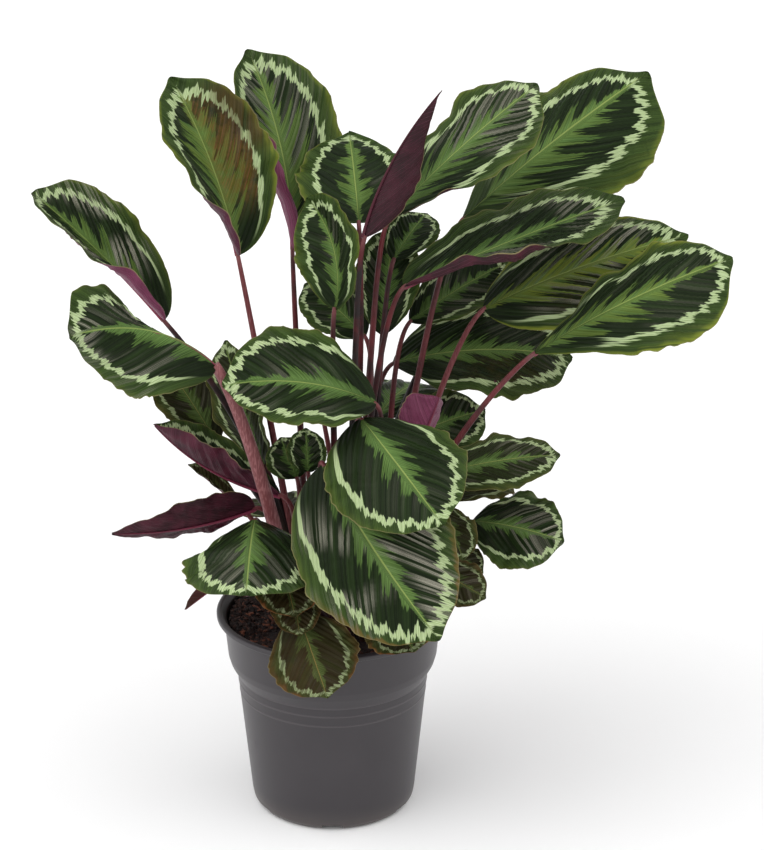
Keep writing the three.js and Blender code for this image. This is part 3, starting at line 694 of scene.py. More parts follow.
def blade_surface(given, t, q):
    """The blade's middle surface: t from root to tip, q from left edge to right."""
    spine, up, right = blade_frame(given, t)
    is_right = compute("GREATER_THAN", q, 0)
    phase = given["Phase"] + 2.1 * is_right
    outline, even = blade_outline(given, t, phase)
    least = ROOT_HALF_WIDTH * compute("MAXIMUM", 1 - 6 * t, 0)
    breadth = compute("MAXIMUM", least, given["Half Width"] * outline)
    sign = 2 * is_right - 1
    reach = abs(q)
    width = reach * outline

    def own(label):
        """The left or the right value of an input, for the side that the point is on."""
        left_value, right_value, _ = given[label].split()
        return left_value + (right_value - left_value) * is_right

    # Each half is an arc: it leaves the midrib at the fold and turns on towards its edge.
    fold = own("Fold")
    turn = (own("Curl") + own("Furl") * (1 - t) * (1 - t)) * reach
    middle = fold + 0.5 * turn
    bent = compute("MAXIMUM", abs(0.5 * turn), 0.001)
    chord = breadth * reach * sine(bent) / bent
    end = fold + turn

    # Its outermost strip rolls up into the hem.
    _, _, hem_end = given["Hem"].split()
    hem = own("Hem") * ramp(t, hem_end, hem_end - HEM_FADE)
    outer = compute("MAXIMUM", reach - HEM_START, 0)
    roll = compute("MAXIMUM", hem * (0.85 + 0.15 * sine(34 * t + phase)) * outer
                   / (1 - HEM_START), 0.001)
    strip = breadth * outer
    out = chord * cosine(middle) + strip * (sine(roll) / roll - 1) * cosine(end)
    rise = chord * sine(middle) + strip * (sine(roll) / roll - 1) * sine(end)

    vein, springs = vein_place(given, t, width)
    lift = blade_lift(given, t, q, even, vein, phase) + strip * (1 - cosine(roll)) / roll
    point = (spine + right * (sign * (out - lift * sine(end)))
             + up * (rise + lift * cosine(end)))
    return {"point": point, "up": up, "even": even, "width": width, "sign": sign,
            "vein": vein, "springs": springs}


def leaf_sheet(tree, given):
    """The blade: two sides that meet in a thin edge, with the pattern's places on them."""
    grid = plane(tree, 1, 2, given["Stations"], given["Columns"])
    x, y, _ = node(tree, "GeometryNodeInputPosition").split()
    even_t = x + 0.5
    t = even_t - 0.12 * sine(2 * math.pi * even_t)
    q = -y
    surface = blade_surface(given, t, q)
    taper = (1 - abs(q) ** 6) * (1 - abs(2 * t - 1) ** 12)
    sheet = noted(tree, grid, "place", vector(tree, surface["even"], q, surface["width"]))
    sheet = noted(tree, sheet, "strand",
                  vector(tree, surface["vein"], surface["springs"], surface["sign"]))
    sheet = noted(tree, sheet, "taper", taper, "FLOAT")
    sheet = placed(tree, sheet, surface["point"])
    normal = node(tree, "GeometryNodeInputNormal")
    offset = normal * (0.5 * given["Thickness"] * kept(tree, "taper"))
    top = noted(tree, shifted(tree, sheet, offset), "layer", 0.0, "FLOAT", "FACE")
    under = node(tree, "GeometryNodeFlipFaces", {}, {0: shifted(tree, sheet, -offset)})
    under = noted(tree, under, "layer", 1.0, "FLOAT", "FACE")
    return welded(tree, joined(tree, top, under), EDGE_GAP)


def leaf_rib(tree, given):
    """The midrib: a tapering tube that lies just below the blade."""
    line = node(tree, "GeometryNodeCurvePrimitiveLine", {}, {"End": (1, 0, 0)})
    line = node(tree, "GeometryNodeResampleCurve", {}, {"Curve": line, "Count": RIB_POINTS})
    s, _, _ = node(tree, "GeometryNodeInputPosition").split()
    run = RIB_END * s
    spine = blade_surface(given, run, 0 * s)
    radius = given["Rib Radius"] * (1.02 - RIB_TAPER * run)
    line = noted(tree, line, "radius_here", radius, "FLOAT")
    line = noted(tree, line, "place", vector(tree, run))
    line = placed(tree, line, spine["point"] - spine["up"] * (1.05 * radius))
    rib = tube(tree, line, RIB_SIDES, kept(tree, "radius_here"))
    return noted(tree, rib, "layer", 2.0, "FLOAT", "FACE")


def leaf_tree(materials):
    """One leaf, with a material for its upper side, its underside and its rib."""
    tree, given = plan_tree("Leaf blade", LEAF_INPUTS)
    leaf = joined(tree, leaf_sheet(tree, given), leaf_rib(tree, given))
    for label in ("Growth", "Tone", "Marks"):
        leaf = noted(tree, leaf, label.lower(), given[label])
    layer = kept(tree, "layer")
    close_tree(tree, smoothed(tree, leaf), [
        (None, materials[0]),
        (compute("GREATER_THAN", layer, 0.5), materials[1]),
        (compute("GREATER_THAN", layer, 1.5), materials[2]),
    ])
    return tree


def upper_fields(tree):
    """What the parts of the pattern share: where a point lies, its leaf's look, its noises."""
    at = SimpleNamespace(spot=object_place(tree))
    at.along, at.across, at.width = attribute(tree, "place").split()
    vein, at.springs, side = attribute(tree, "strand").split()
    seed, at.age, at.warmth = attribute(tree, "growth").split()
    at.painted_sheen, _, at.feathered = attribute(tree, "tone").split()
    at.ring_place, at.gold_and_glow, at.scorch = attribute(tree, "marks").split()
    at.reach = abs(at.across)
    at.own = vein + SIDE_SHIFT * side + seed
    at.ridge = sine(2 * math.pi * vein)
    at.group = grain(at.own, 0.55, 1.0)
    at.other_group = grain(at.own + 5.5, 0.8, 1.0)
    at.fibre = grain(at.own, 7.0, 2.0)
    return at


def ring_masks(at):
    """Masks for the jagged ring and for all that lies outside it, and where its middle is."""
    stroke = grain(at.own + 11.3, 2.1, 2.5)
    comb = grain(at.own + 23.9, 2.5, 2.5)
    middle = 2 * at.along - 1
    stretch = 0.48 + 0.22 * ramp(middle, -0.5, 0.4)
    oval = compute("SQRT", stretch * middle * middle + at.width * at.width)
    settled = ramp(at.springs, -0.06, 0.12)
    arc = abs(sine(math.pi * (0.32 * at.own + at.group)))
    centre = at.ring_place + settled * (0.10 * (at.group - 0.5) + 0.06 * (arc - 0.6))
    half = ((0.020 + 0.040 * ramp(at.other_group, 0.3, 0.7))
            * (0.25 + 0.75 * ramp(at.along, 0.05, 0.4)))
    inner = centre - half + 0.14 * settled * (stroke - 0.5)
    outer = centre + half + 0.13 * settled * (comb - 0.5)
    ring = (ramp(oval, inner - 0.006, inner + 0.008) * ramp(oval, outer + 0.008, outer - 0.006)
            * ramp(at.along, 0.05, 0.16))
    return ring, ramp(oval, centre - 0.01, centre + 0.02), centre


def feather_mask(at):
    """The barbs on both sides of the midrib, shorter towards the root and the tip."""
    barb = grain(at.own + 41.7, 2.6, 2.0)
    profile = ramp(at.springs, -0.05, 0.2) * (1 - 0.9 * ramp(at.springs, 0.35, 0.95))
    lobe = ramp(grain(at.own + 3.7, 0.55, 0.0), 0.36, 0.64)
    barbs = at.feathered * profile * (0.95 * lobe + 1.6 * barb - 0.4)
    return ramp(at.width, barbs + 0.015, barbs - 0.012)


def middle_colour(look, at, feather, painted_sheen_share):
    """The dark field with painted sheen and ridge highlights, the feather over it, and rust over
    both.
    """
    # The ridge term paints the field lighter on each crest between veins, a painted highlight on
    # the relief; the fibre and group terms are the field's own strokes.
    field = mix(look.field_dark, look.field_light,
                0.15 * (0.5 + 0.5 * at.ridge) + 0.35 * ramp(at.fibre, 0.35, 0.65)
                + 0.35 * ramp(at.group, 0.4, 0.7))
    # Painted sheen: streaks of painted highlight laid over the field.
    field = mix(field, look.painted_sheen, painted_sheen_share)
    quill = mix(look.feather_dark, look.feather_light,
                0.65 * ramp(at.fibre, 0.36, 0.62) + 0.35 * ramp(at.width, 0.2, 0.02))
    quill = mix(quill, look.band_edge, 0.35 * at.gold_and_glow * ramp(at.other_group, 0.2, 0.7))
    quill = mix(quill, field, 0.6 * at.age)
    rust = (ramp(grain(at.spot, 60.0, 4.0, 0.7), 0.3, 0.66)
            * ramp(at.across, -0.2, 0.1) * ramp(at.along, 0.15, 0.4))
    rusty = mix(look.warm, look.scorched, ramp(grain(at.own + 2.9, 4.0, 3.0), 0.45, 0.65))
    return mix(mix(field, quill, feather), rusty, 0.7 * at.warmth * rust)


def band_colour(look, at, centre):
    """The green margin outside the ring, yellower at the edge: its own colour and a painted glow of
    light.
    """
    band = mix(look.band_dark, look.band_light,
               0.55 * ramp(at.fibre, 0.3, 0.7) + 0.3 * ramp(at.group, 0.3, 0.7))
    yellow = (0.3 * ramp(at.width, centre + 0.05, centre + 0.3)
              + 0.7 * ramp(at.reach, 0.88, 0.98))
    return mix(band, look.band_edge, at.gold_and_glow * yellow * ramp(at.other_group, 0.1, 0.6))


def weathered(look, at, colour):
    """Browns the colour with age, most of all at the edge, and dries a scorched edge."""
    brown = at.age * ramp(at.reach + 0.3 * (at.group - 0.5) + 0.12 * (at.fibre - 0.5),
                          0.78, 0.98)
    colour = mix(colour, look.brown, 0.4 * at.age)
    colour = mix(colour, look.brown, brown)
    dry = at.scorch * ramp(at.reach + 0.2 * (at.group - 0.5) + 0.1 * (at.fibre - 0.5),
                           0.90, 0.97)
    return mix(colour, look.scorched, dry * ramp(at.along, 0.45, 0.8))


def draw_upper(look):
    """The painted upper side: dark field, feathered middle, jagged ring, green margin."""
    def draw(tree):
        at = upper_fields(tree)
        ring, margin, centre = ring_masks(at)
        feather = feather_mask(at)
        # Painted highlights: streaks of sheen along the veins, in patches, stand in for the gloss
        # of the pleated field.
        sheen = at.painted_sheen * ramp(grain(at.spot, 18.0, 1.0), 0.38, 0.62)
        streak = (sheen * ramp(grain(at.own + 3.1, 0.8, 1.0), 0.44, 0.6)
                  * ramp(at.along, 0.12, 0.4))
        thread = ramp(grain(at.own + 9.3, 11.0, 2.0), 0.42, 0.62)

        colour = middle_colour(look, at, feather, streak * (0.08 + 0.62 * thread))
        colour = mix(colour, band_colour(look, at, centre), margin)
        mint = mix(look.ring, look.ring_pale, ramp(at.fibre, 0.35, 0.65))
        worn = at.age * (0.35 + 0.6 * ramp(grain(at.own + 17.0, 1.4, 1.0), 0.45, 0.6))
        colour = mix(colour, mint, ring * (0.92 - worn))
        singed = (ramp(at.across, 0.3, 0.7) * ramp(at.along, 0.45, 0.6)
                  * ramp(at.along, 0.95, 0.8))
        colour = mix(colour, look.brown,
                     0.75 * at.warmth * singed * ramp(at.fibre + at.group, 0.6, 1.1))
        # More painted sheen, laid over every colour of the upper side.
        colour = mix(colour, look.painted_sheen, 0.3 * streak * thread)
        colour = weathered(look, at, colour)
        colour = mix(colour, mix(look.rib_top, look.scorched, at.age),
                     0.85 * ramp(at.reach, 0.015, 0.006) * ramp(at.along, 0.97, 0.9))
        colour = mix(colour, look.edge, 0.5 * ramp(at.reach, 0.980, 0.992))
        # Painted shade: darker towards the root, where other leaves shade the blade.
        colour = mix(colour, look.field_dark, 0.35 * ramp(at.along, 0.3, 0.05))

        gloss = 0.33 + 0.10 * feather + 0.08 * margin + 0.12 * (at.fibre - 0.5) + 0.15 * at.age
        channel = ramp(at.reach, 0.0, 0.03)
        height = (0.6 * at.ridge * ramp(at.reach, 0.02, 0.12) * ramp(at.reach, 1.0, 0.8)
                  + 0.5 * at.fibre + 1.2 * channel)
        return {"Base Color": colour, "Roughness": gloss, "Normal": bump(height, 0.0005)}
    return draw


def draw_under(look):
    """The wine-coloured underside, with its veins raised and paler."""
    def draw(tree):
        _, across, _ = attribute(tree, "place").split()
        vein, _, side = attribute(tree, "strand").split()
        seed, age, _ = attribute(tree, "growth").split()
        _, purple, _ = attribute(tree, "tone").split()
        reach = abs(across)
        own = vein + SIDE_SHIFT * side + seed
        fibre = grain(own, 7.0, 3.0)
        cloud = grain(object_place(tree), 60.0, 3.0)
        # A purple below 0 paints shade: it darkens the whole underside towards the dark wine.
        light = ramp(cloud, 0.3, 0.7) * (1 + compute("MINIMUM", purple, 0))
        wine = mix(look.wine_dark, look.wine, light)
        bright = mix(look.wine, look.purple, ramp(fibre, 0.2, 0.75))
        colour = mix(wine, bright, purple)
        line = ramp(abs(sine(math.pi * vein)), 0.25, 0.03) * ramp(reach, 0.98, 0.9)
        colour = mix(colour, look.vein_under, 0.35 * line)
        colour = mix(colour, look.edge, 0.8 * ramp(reach, 0.97, 0.985))
        colour = mix(colour, look.brown, 0.6 * age)
        height = line + 0.5 * fibre
        return {"Base Color": colour, "Roughness": 0.42 + 0.15 * cloud,
                "Normal": bump(height, 0.0005)}
    return draw


def draw_rib(look):
    """The midrib from below, pink at its root and wine-coloured further on."""
    def draw(tree):
        along, _, _ = attribute(tree, "place").split()
        _, purple, _ = attribute(tree, "tone").split()
        cloud = grain(object_place(tree), 120.0, 2.0)
        colour = mix(look.rib_under, look.wine, 0.4 * ramp(along, 0.1, 0.8) + 0.5 * cloud)
        # Painted shade: a purple below 0 darkens the rib as well.
        colour = mix(colour, look.wine_dark, compute("MAXIMUM", -1.3 * purple, 0))
        return {"Base Color": colour, "Roughness": 0.38 + 0.2 * cloud}
    return draw


def directions(leaf):
    """A leaf's root and chord, and which way it runs, faces and lies across."""
    root = Vector(leaf["root"])
    chord = Vector(leaf["tip"]) - root
    along = chord.normalized()
    face = Vector(leaf["face"])
    face = (face - along * face.dot(along)).normalized()
    return root, chord, along, face, along.cross(face)


def leaf_values(index, name, settings):
    """A leaf's record as the inputs of the blade's tree."""
    leaf = {**LEAVES[name], **USUAL_LOOK, **LOOKS.get(name, {})}
    root, chord, along, face, side = directions(leaf)
    size = min(1, leaf["width"] * MM / settings.full_width)
    detail = 0.4 + 0.6 * size

    def angles(pair, third=0):
        return (math.radians(pair[0]), math.radians(pair[1]), third)

    return {
        "Stations": int(settings.stations * detail),
        "Columns": 2 * int(settings.columns * detail / 2) + 1,
        "Root": root * MM, "Along": along, "Face": face, "Side": side,
        "Length": chord.length * MM, "Half Width": leaf["width"] / 2 * MM,
        "Skew": math.log(0.5) / math.log(leaf["broadest"]), "Blunt": leaf["blunt"],
        "Bow": leaf["bow"] * MM, "Bend": leaf["bend"] * MM,
        "Twist": math.radians(leaf["twist"]), "Wave": leaf["wave"] * MM,
        "Phase": chord.length * WAVE_SHIFT,
        "Fold": angles(leaf["fold"]), "Curl": angles(leaf["curl"]), "Furl": angles(leaf["furl"]),
        "Hem": angles(leaf["hem"], leaf["hem_end"]),
        "Thickness": settings.thickness, "Relief": settings.relief * detail,
        "Sway": settings.sway * size,
        "Vein Spacing": settings.vein_spacing * (0.5 + 0.5 * size), "Sweep": leaf["sweep"],
        "Rib Radius": settings.rib_radius * (0.6 + 0.4 * size),
        "Growth": (LEAF_SHIFT * index, leaf["age"], leaf["warmth"]),
        "Tone": (leaf["painted_sheen"], leaf["purple"], leaf["feather"]),
        "Marks": (leaf["ring"], leaf["gold_and_glow"], leaf["scorch"]),
    }


# ---- stalks ----------------------------------------------------------------------------


def stalk_path(leaf):
    """The four points of the stalk's curve, from its shoot to just inside the blade's foot."""
    root, chord, along, face, side = directions(leaf)
    x, y = SHOOTS[leaf["shoot"]]
    end = root + along * STALK_LAP
    out = Vector((end.x - x, end.y - y, 0)).normalized()
    start = Vector((x, y, STALK_START)) + out * STALK_SPREAD
    span = (end - start).length
    rise = start + out * (span * STALK_LEAN) + Vector((0, 0, span * STALK_RISE))
    arch = (chord + face * (4 * leaf["bow"]) + side * (4 * leaf["bend"])).normalized()
    return start, rise, end - arch * STALK_KNEE, end


def add_stalk(curves, points, radii, steps, blush=0.0):
    """One Bezier run in a curve; its tilt, which a round tube doesn't show, carries blush."""
    start, rise, knee, end = [point * MM for point in points]
    spline = curves.splines.new("BEZIER")
    spline.bezier_points.add(1)
    spline.resolution_u = steps
    for point, co, before, after, radius in (
            (spline.bezier_points[0], start, start * 2 - rise, rise, radii[0]),
            (spline.bezier_points[1], end, knee, end * 2 - knee, radii[1])):
        point.co = co
        point.handle_left = before
        point.handle_right = after
        point.radius = radius * MM
        point.tilt = blush


def add_crown(curves, x, y):
    """The crown in two runs: straight in its hole, then narrowing above the soil."""
    for foot, top, narrow in ((CROWN_FOOT, SOIL_TOP, CROWN_RADIUS),
                              (SOIL_TOP - 1, CROWN_TOP, CROWN_NECK)):
        points = [Vector((x, y, foot + (top - foot) * share)) for share in (0, 0.4, 0.8, 1)]
        add_stalk(curves, points, (CROWN_RADIUS, narrow), CROWN_STEPS)


def add_sheath(curves, x, y, angle, height):
    """A short sheath that stands against the crown at that angle."""
    out = Vector((math.cos(angle), math.sin(angle), 0))
    foot = Vector((x, y, SOIL_TOP - SHEATH_SINK)) + out * (CROWN_RADIUS - SHEATH_SINK)
    points = [foot + Vector((0, 0, height * share)) + out * swing
              for share, swing in SHEATH_ROUTE]
    add_stalk(curves, points, SHEATH_RADII, SHEATH_STEPS)


def shoot_curves(name, settings):
    """A shoot's stalks, its crown and the sheaths round its foot, as one set of curves."""
    curves = bpy.data.curves.new("shoot_" + name, "CURVE")
    curves.dimensions = "3D"
    x, y = SHOOTS[name]
    chance = random.Random(name)
    for leaf_name, leaf in LEAVES.items():
        if leaf["shoot"] == name:
            blush = BLUSHING.get(leaf_name, chance.uniform(*USUAL_BLUSH))
            end_radius = settings.end_radius / MM * THICK.get(leaf_name, 1)
            add_stalk(curves, stalk_path(leaf), (leaf["sheath"], end_radius), settings.steps,
                      blush)
    add_crown(curves, x, y)
    for number in range(settings.sheaths):
        angle = 2 * math.pi * (number + chance.uniform(-0.2, 0.2)) / settings.sheaths
        add_sheath(curves, x, y, angle, chance.uniform(*SHEATH_HEIGHTS))
    return curves


def shoot_tree(material):
    """Tubes along the stalks, thicker in the joint below each blade."""
    tree, given = plan_tree("Shoot stalks", {"Geometry": "Geometry", "Sides": "Int",
                                             "Joint Swelling": "Float"})
    climb = node(tree, "GeometryNodeSplineParameter")
    tilt = node(tree, "GeometryNodeInputCurveTilt")
    curve = noted(tree, given["Geometry"], "climb", climb, "FLOAT")
    curve = noted(tree, curve, "blush", tilt, "FLOAT")
    joint = ramp(climb, 0.86, 0.9) * ramp(climb, 1.0, 0.97)
    foot = ramp(climb, 0.2, 0.0)
    radius = node(tree, "GeometryNodeInputRadius")
    tubes = tube(tree, curve, given["Sides"],
                 radius * (1 + given["Joint Swelling"] * joint + 0.15 * foot))
    close_tree(tree, smoothed(tree, tubes), [(None, material)])
    return tree


def draw_stalk(look):
    """Burgundy streaked along the stalk, pinker towards the blade and brown at the foot."""
    def draw(tree):
        climb = attribute(tree, "climb", "Fac")
        blush = attribute(tree, "blush", "Fac")
        place = object_place(tree)
        cloud = grain(place, 35.0, 3.0)
        long = grain(place * (1.0, 1.0, 0.12), 900.0, 2.0)
        colour = mix(look.stalk_dark, look.stalk,
                     ramp(cloud + 0.2 * climb + 0.4 * blush, 0.4, 0.8))
        colour = mix(colour, look.stalk_pale,
                     (0.3 + 0.7 * ramp(long, 0.45, 0.7)) * (0.12 * climb + 0.7 * blush))
        colour = mix(colour, look.foot, ramp(climb, 0.25, 0.0) * (1 - 0.6 * blush))
        colour = mix(colour, look.stalk_pale, 0.25 * ramp(climb, 0.86, 0.95))
        return {"Base Color": colour, "Roughness": 0.34 + 0.2 * cloud,
                "Normal": bump(long, 0.0002, 0.6)}
    return draw


# ---- soil ------------------------------------------------------------------------------

SOIL_INPUTS = {
    "Reach": "Float", "Bank": "Float", "Crumbs": "Float", "Strips": "Float",
    "Crumb Size": "Float", "Strip Length": "Float", "Seed": "Int",
}

# Points along each side of the bed, how far the crumbs keep off a shoot's crown, and how far
# apart, in metres, the bank's points may be where its ends meet.
BED_POINTS = 94
HOLE_CLEARANCE = 0.5
SEAM_GAP = 0.01 * MM


def soil_height(x, y, radius, bank):
    """The uneven top of the soil, as in the part's source, and its bank against the pot."""
    hills = sine(0.11 * x + 1) * cosine(0.13 * y) + sine(0.07 * (x - y))
    return SOIL_TOP + SOIL_HILLS * hills + bank * ramp(radius, BANK_FOOT, SOIL_RADIUS)


def bank_ring(tree, bank):
    """A closed ring of soil that lies in the corner between the soil and the pot's wall."""
    u, v, _ = node(tree, "GeometryNodeInputPosition").split()
    angle = -2 * math.pi * u
    v = v + 0.5
    jump = 0.001
    above = ramp(v, 0.0, jump) * ramp(v, BANK_TOP_SHARE + jump, BANK_TOP_SHARE)
    share = compute("MINIMUM", v / BANK_TOP_SHARE, (1 - v) / (1 - BANK_TOP_SHARE))
    radius = BANK_FOOT - BANK_LAP + (SOIL_RADIUS - BANK_FOOT + BANK_LAP) * share
    x = radius * cosine(angle)
    y = radius * sine(angle)
    clods = BANK_CLODS * (grain(vector(tree, x, y), 0.16, 3.0, 0.6) - 0.5)
    top = (soil_height(x, y, radius, bank) - BANK_SINK
           + clods * ramp(radius, BANK_FOOT, BANK_FOOT + BANK_CLOD_RISE))
    height = BANK_BOTTOM + (top - BANK_BOTTOM) * above
    ring = placed(tree, plane(tree, 1, 1, *BANK_POINTS), vector(tree, x * MM, y * MM, height * MM))
    return noted(tree, welded(tree, ring, SEAM_GAP), "shade", 0.15, "FLOAT", "FACE")


def soil_bed(tree, given):
    """The soil's top, marked free where no shoot stands, for the crumbs to lie on."""
    side = 2 * given["Reach"]
    bed = plane(tree, side, side, BED_POINTS, BED_POINTS)
    x, y, _ = node(tree, "GeometryNodeInputPosition").split()
    x, y = x / MM, y / MM
    away_from_middle = compute("SQRT", x * x + y * y)
    height = MM * soil_height(x, y, away_from_middle, given["Bank"] / MM)
    free = compute("LESS_THAN", away_from_middle, given["Reach"] / MM)
    for at_x, at_y in SHOOTS.values():
        away = compute("SQRT", (x - at_x) ** 2 + (y - at_y) ** 2)
        free = free * compute("GREATER_THAN", away, CROWN_RADIUS + HOLE_CLEARANCE)
    bed = noted(tree, bed, "free", free, "FLOAT")
    return shifted(tree, bed, vector(tree, 0, 0, height))


def strewn(tree, bed, density, seed, sizes, shades, number):
    """Rough lumps strewn over the bed; number keeps one kind's chance apart from another's."""
    def chance(low, high, step, kind="FLOAT_VECTOR"):
        return node(tree, "FunctionNodeRandomValue", {"data_type": kind},
                    {"Min": low, "Max": high, "Seed": number + step})

    points = node(tree, "GeometryNodeDistributePointsOnFaces", {},
                  {"Mesh": bed, "Selection": kept(tree, "free"), "Density": density,
                   "Seed": seed + number})
    lump = node(tree, "GeometryNodeMeshIcoSphere", {}, {"Radius": 1, "Subdivisions": 1})
    here = node(tree, "GeometryNodeInputPosition")
    lump = placed(tree, lump, here * (0.45 + 1.1 * grain(here + float(number), 1.3, 1.0)))
    made = node(tree, "GeometryNodeInstanceOnPoints", {},
                {"Points": points, "Instance": lump,
                 "Rotation": chance((-0.5, -0.5, 0), (0.5, 0.5, 6.28), 1),
                 "Scale": chance(*sizes, 2)})
    return noted(tree, made, "shade", chance(*shades, 3, "FLOAT"), "FLOAT", "INSTANCE")


def soil_tree(material):
    """Crumbs and bark strips strewn over the soil's top, round the shoots, and the bank."""
    tree, given = plan_tree("Soil crumbs", SOIL_INPUTS)
    bed = soil_bed(tree, given)
    size, length = given["Crumb Size"], given["Strip Length"]
    crumbs = strewn(tree, bed, given["Crumbs"], given["Seed"],
                    (size * (0.3, 0.3, 0.25), size * (1.0, 0.9, 0.7)), (0.0, 0.7), 10)
    strips = strewn(tree, bed, given["Strips"], given["Seed"],
                    (length * (0.25, 0.1, 0.06), length * (0.5, 0.18, 0.1)), (0.6, 1.0), 20)
    ring = bank_ring(tree, given["Bank"] / MM)
    close_tree(tree, joined(tree, ring, crumbs, strips), [(None, material)])
    return tree


def draw_soil(look):
    """Damp peat, browner where a crumb is drier, and bark on the strips."""
    def draw(tree):
        shade = attribute(tree, "shade", "Fac")
        place = object_place(tree)
        clod = grain(place, 160.0, 4.0, 0.65)
        dust = grain(place, 900.0, 3.0)
        colour = mix(look.soil_dark, look.soil_brown, ramp(clod + 0.3 * shade, 0.4, 0.85))
        colour = mix(colour, look.bark, ramp(shade, 0.55, 0.95) * (0.4 + 0.6 * dust))
        return {"Base Color": colour, "Roughness": 0.8 + 0.15 * dust,
                "Normal": bump(clod + 0.4 * dust, 0.0012)}
    return draw


# ---- pot -------------------------------------------------------------------------------


def eased(profile, cut, steps):
    """A profile with its corners rounded; cut is how far each rounding reaches."""
    soft = [profile[0]]
    for before, corner, after in zip(profile, profile[1:], profile[2:]):
        before, corner, after = Vector(before), Vector(corner), Vector(after)
        reach = min(cut, 0.45 * (corner - before).length, 0.45 * (after - corner).length)
        first = corner + (before - corner).normalized() * reach
        last = corner + (after - corner).normalized() * reach
        for step in range(steps + 1):
            share = step / steps
            soft.append(tuple(first.lerp(corner, share).lerp(corner.lerp(last, share), share)))
    soft.append(profile[-1])
    return soft


def turned(name, profile, sides):
    """A closed mesh turned from radius and height pairs in millimetres; it may touch the axis."""
    points = []
    rings = []
    for radius, height in profile:
        first = len(points)
        count = sides if radius > 0 else 1
        for step in range(count):
            angle = 2 * math.pi * step / sides
            points.append((radius * math.cos(angle) * MM, radius * math.sin(angle) * MM,
                           height * MM))
        rings.append((first, count))
    faces = []
    for (low, low_count), (high, high_count) in zip(rings, rings[1:]):
        for step in range(sides):
            follow = (step + 1) % sides
            corners = [low + step % low_count, low + follow % low_count,
                       high + follow % high_count, high + step % high_count]
            faces.append(list(dict.fromkeys(corners)))
    mesh = bpy.data.meshes.new(name)
    mesh.from_pydata(points, [], faces)
    mesh.validate()
    return mesh


def ringed(outside, depth):
    """The pot's outside with fine raised rings round its body."""
    foot_radius, foot_height = POT_BODY_FOOT
    top_radius, top_height = POT_BODY_TOP
    rings = []
    for height in POT_RINGS:
        share = (height - foot_height) / (top_height - foot_height)
        radius = foot_radius + (top_radius - foot_radius) * share
        rings += [(radius, height - RING_FOOT), (radius + depth, height - RING_CREST),
                  (radius + depth, height + RING_CREST), (radius, height + RING_FOOT)]
    at = outside.index(POT_BODY_TOP)
    return outside[:at] + rings + outside[at:]


def drain_cutter():
    """Blocks for the drain slots, standing round the pot's bottom edge."""
    points = []
    faces = []
    wide, deep, high = DRAIN_SIZE
    for slot in range(DRAIN_SLOTS):
        turn = 2 * math.pi * (slot + 1) / DRAIN_SLOTS
        first = len(points)
        for at_x in (-wide / 2, wide / 2):
            for at_y in (-deep / 2, deep / 2):
                for at_z in (-high / 2, high / 2):
                    y = at_y - DRAIN_RADIUS
                    points.append(((at_x * math.cos(turn) - y * math.sin(turn)) * MM,
                                   (at_x * math.sin(turn) + y * math.cos(turn)) * MM,
                                   at_z * MM))
        faces += [[first + i for i in side] for side in
                  ((0, 1, 3, 2), (4, 6, 7, 5), (0, 4, 5, 1), (2, 3, 7, 6),
                   (0, 2, 6, 4), (1, 5, 7, 3))]
    mesh = bpy.data.meshes.new("drain_slots")
    mesh.from_pydata(points, [], faces)
    return mesh


def draw_pot(look):
    """Moulded plastic with painted highlights on its rings and step, painted shade in peat brown
    inside the rim, and dust at the foot.
    """
    def draw(tree):
        place = object_place(tree)
        x, y, z = place.split()
        radius = compute("SQRT", x * x + y * y) / MM
        height = z / MM
        cloud = grain(place, 22.0, 3.0)
        speck = grain(place, 1400.0, 2.0)
        scuff = ramp(grain(place * (1, 1, 0.3), 70.0, 4.0, 0.7), 0.62, 0.72)
        colour = mix(look.pot, look.pot_pale_and_highlight, 0.25 * cloud + 0.08 * scuff)
        # Painted highlights: pale lines round the fine rings and the step, where light catches
        # their edges.
        for ring in (*POT_RINGS, POT_STEP):
            colour = mix(colour, look.pot_pale_and_highlight, 0.5 * ramp(abs(height - ring), 1.2, 0.4))
        # Painted shade, in peat brown, on the inside of the wall and the rim above the first
        # height.
        wall = (WALL_RADIUS + WALL_SPREAD * height
                + LIP_WIDENING * ramp(height, POT_LIP, POT_LIP + 3))
        rim_shade = ramp(radius - wall, 0.5, -0.5) * ramp(height, *RIM_SHADE_HEIGHTS)
        colour = mix(colour, look.rim_shade, rim_shade * (0.6 + 0.4 * ramp(cloud, 0.3, 0.6)))
        colour = mix(colour, look.pot_dust, 0.18 * ramp(height + 10 * cloud, DUST_TOP, 0))
        return {"Base Color": colour,
                "Roughness": 0.33 + 0.10 * cloud + 0.1 * scuff,
                "Normal": bump(speck + 0.5 * cloud, 0.00012, 0.5)}
    return draw


# ---- settings --------------------------------------------------------------------------


def size_of(name, description, default):
    """A length in metres."""
    return bpy.props.FloatProperty(name=name, description=description, default=default,
                                   min=0, unit="LENGTH", subtype="DISTANCE", precision=5)


def colour_of(name, description, code):
    """A colour, by its paint-chart code."""
    return bpy.props.FloatVectorProperty(name=name, description=description, size=3,
                                         subtype="COLOR", min=0, max=1, default=tint(code))


def count_of(name, description, default, low=1):
    """A whole number."""
    return bpy.props.IntProperty(name=name, description=description, default=default, min=low)


def share_of(name, description, default, high=1.0):
    """A share or a strength."""
    return bpy.props.FloatProperty(name=name, description=description, default=default,
                                   min=0, max=high, subtype="FACTOR")


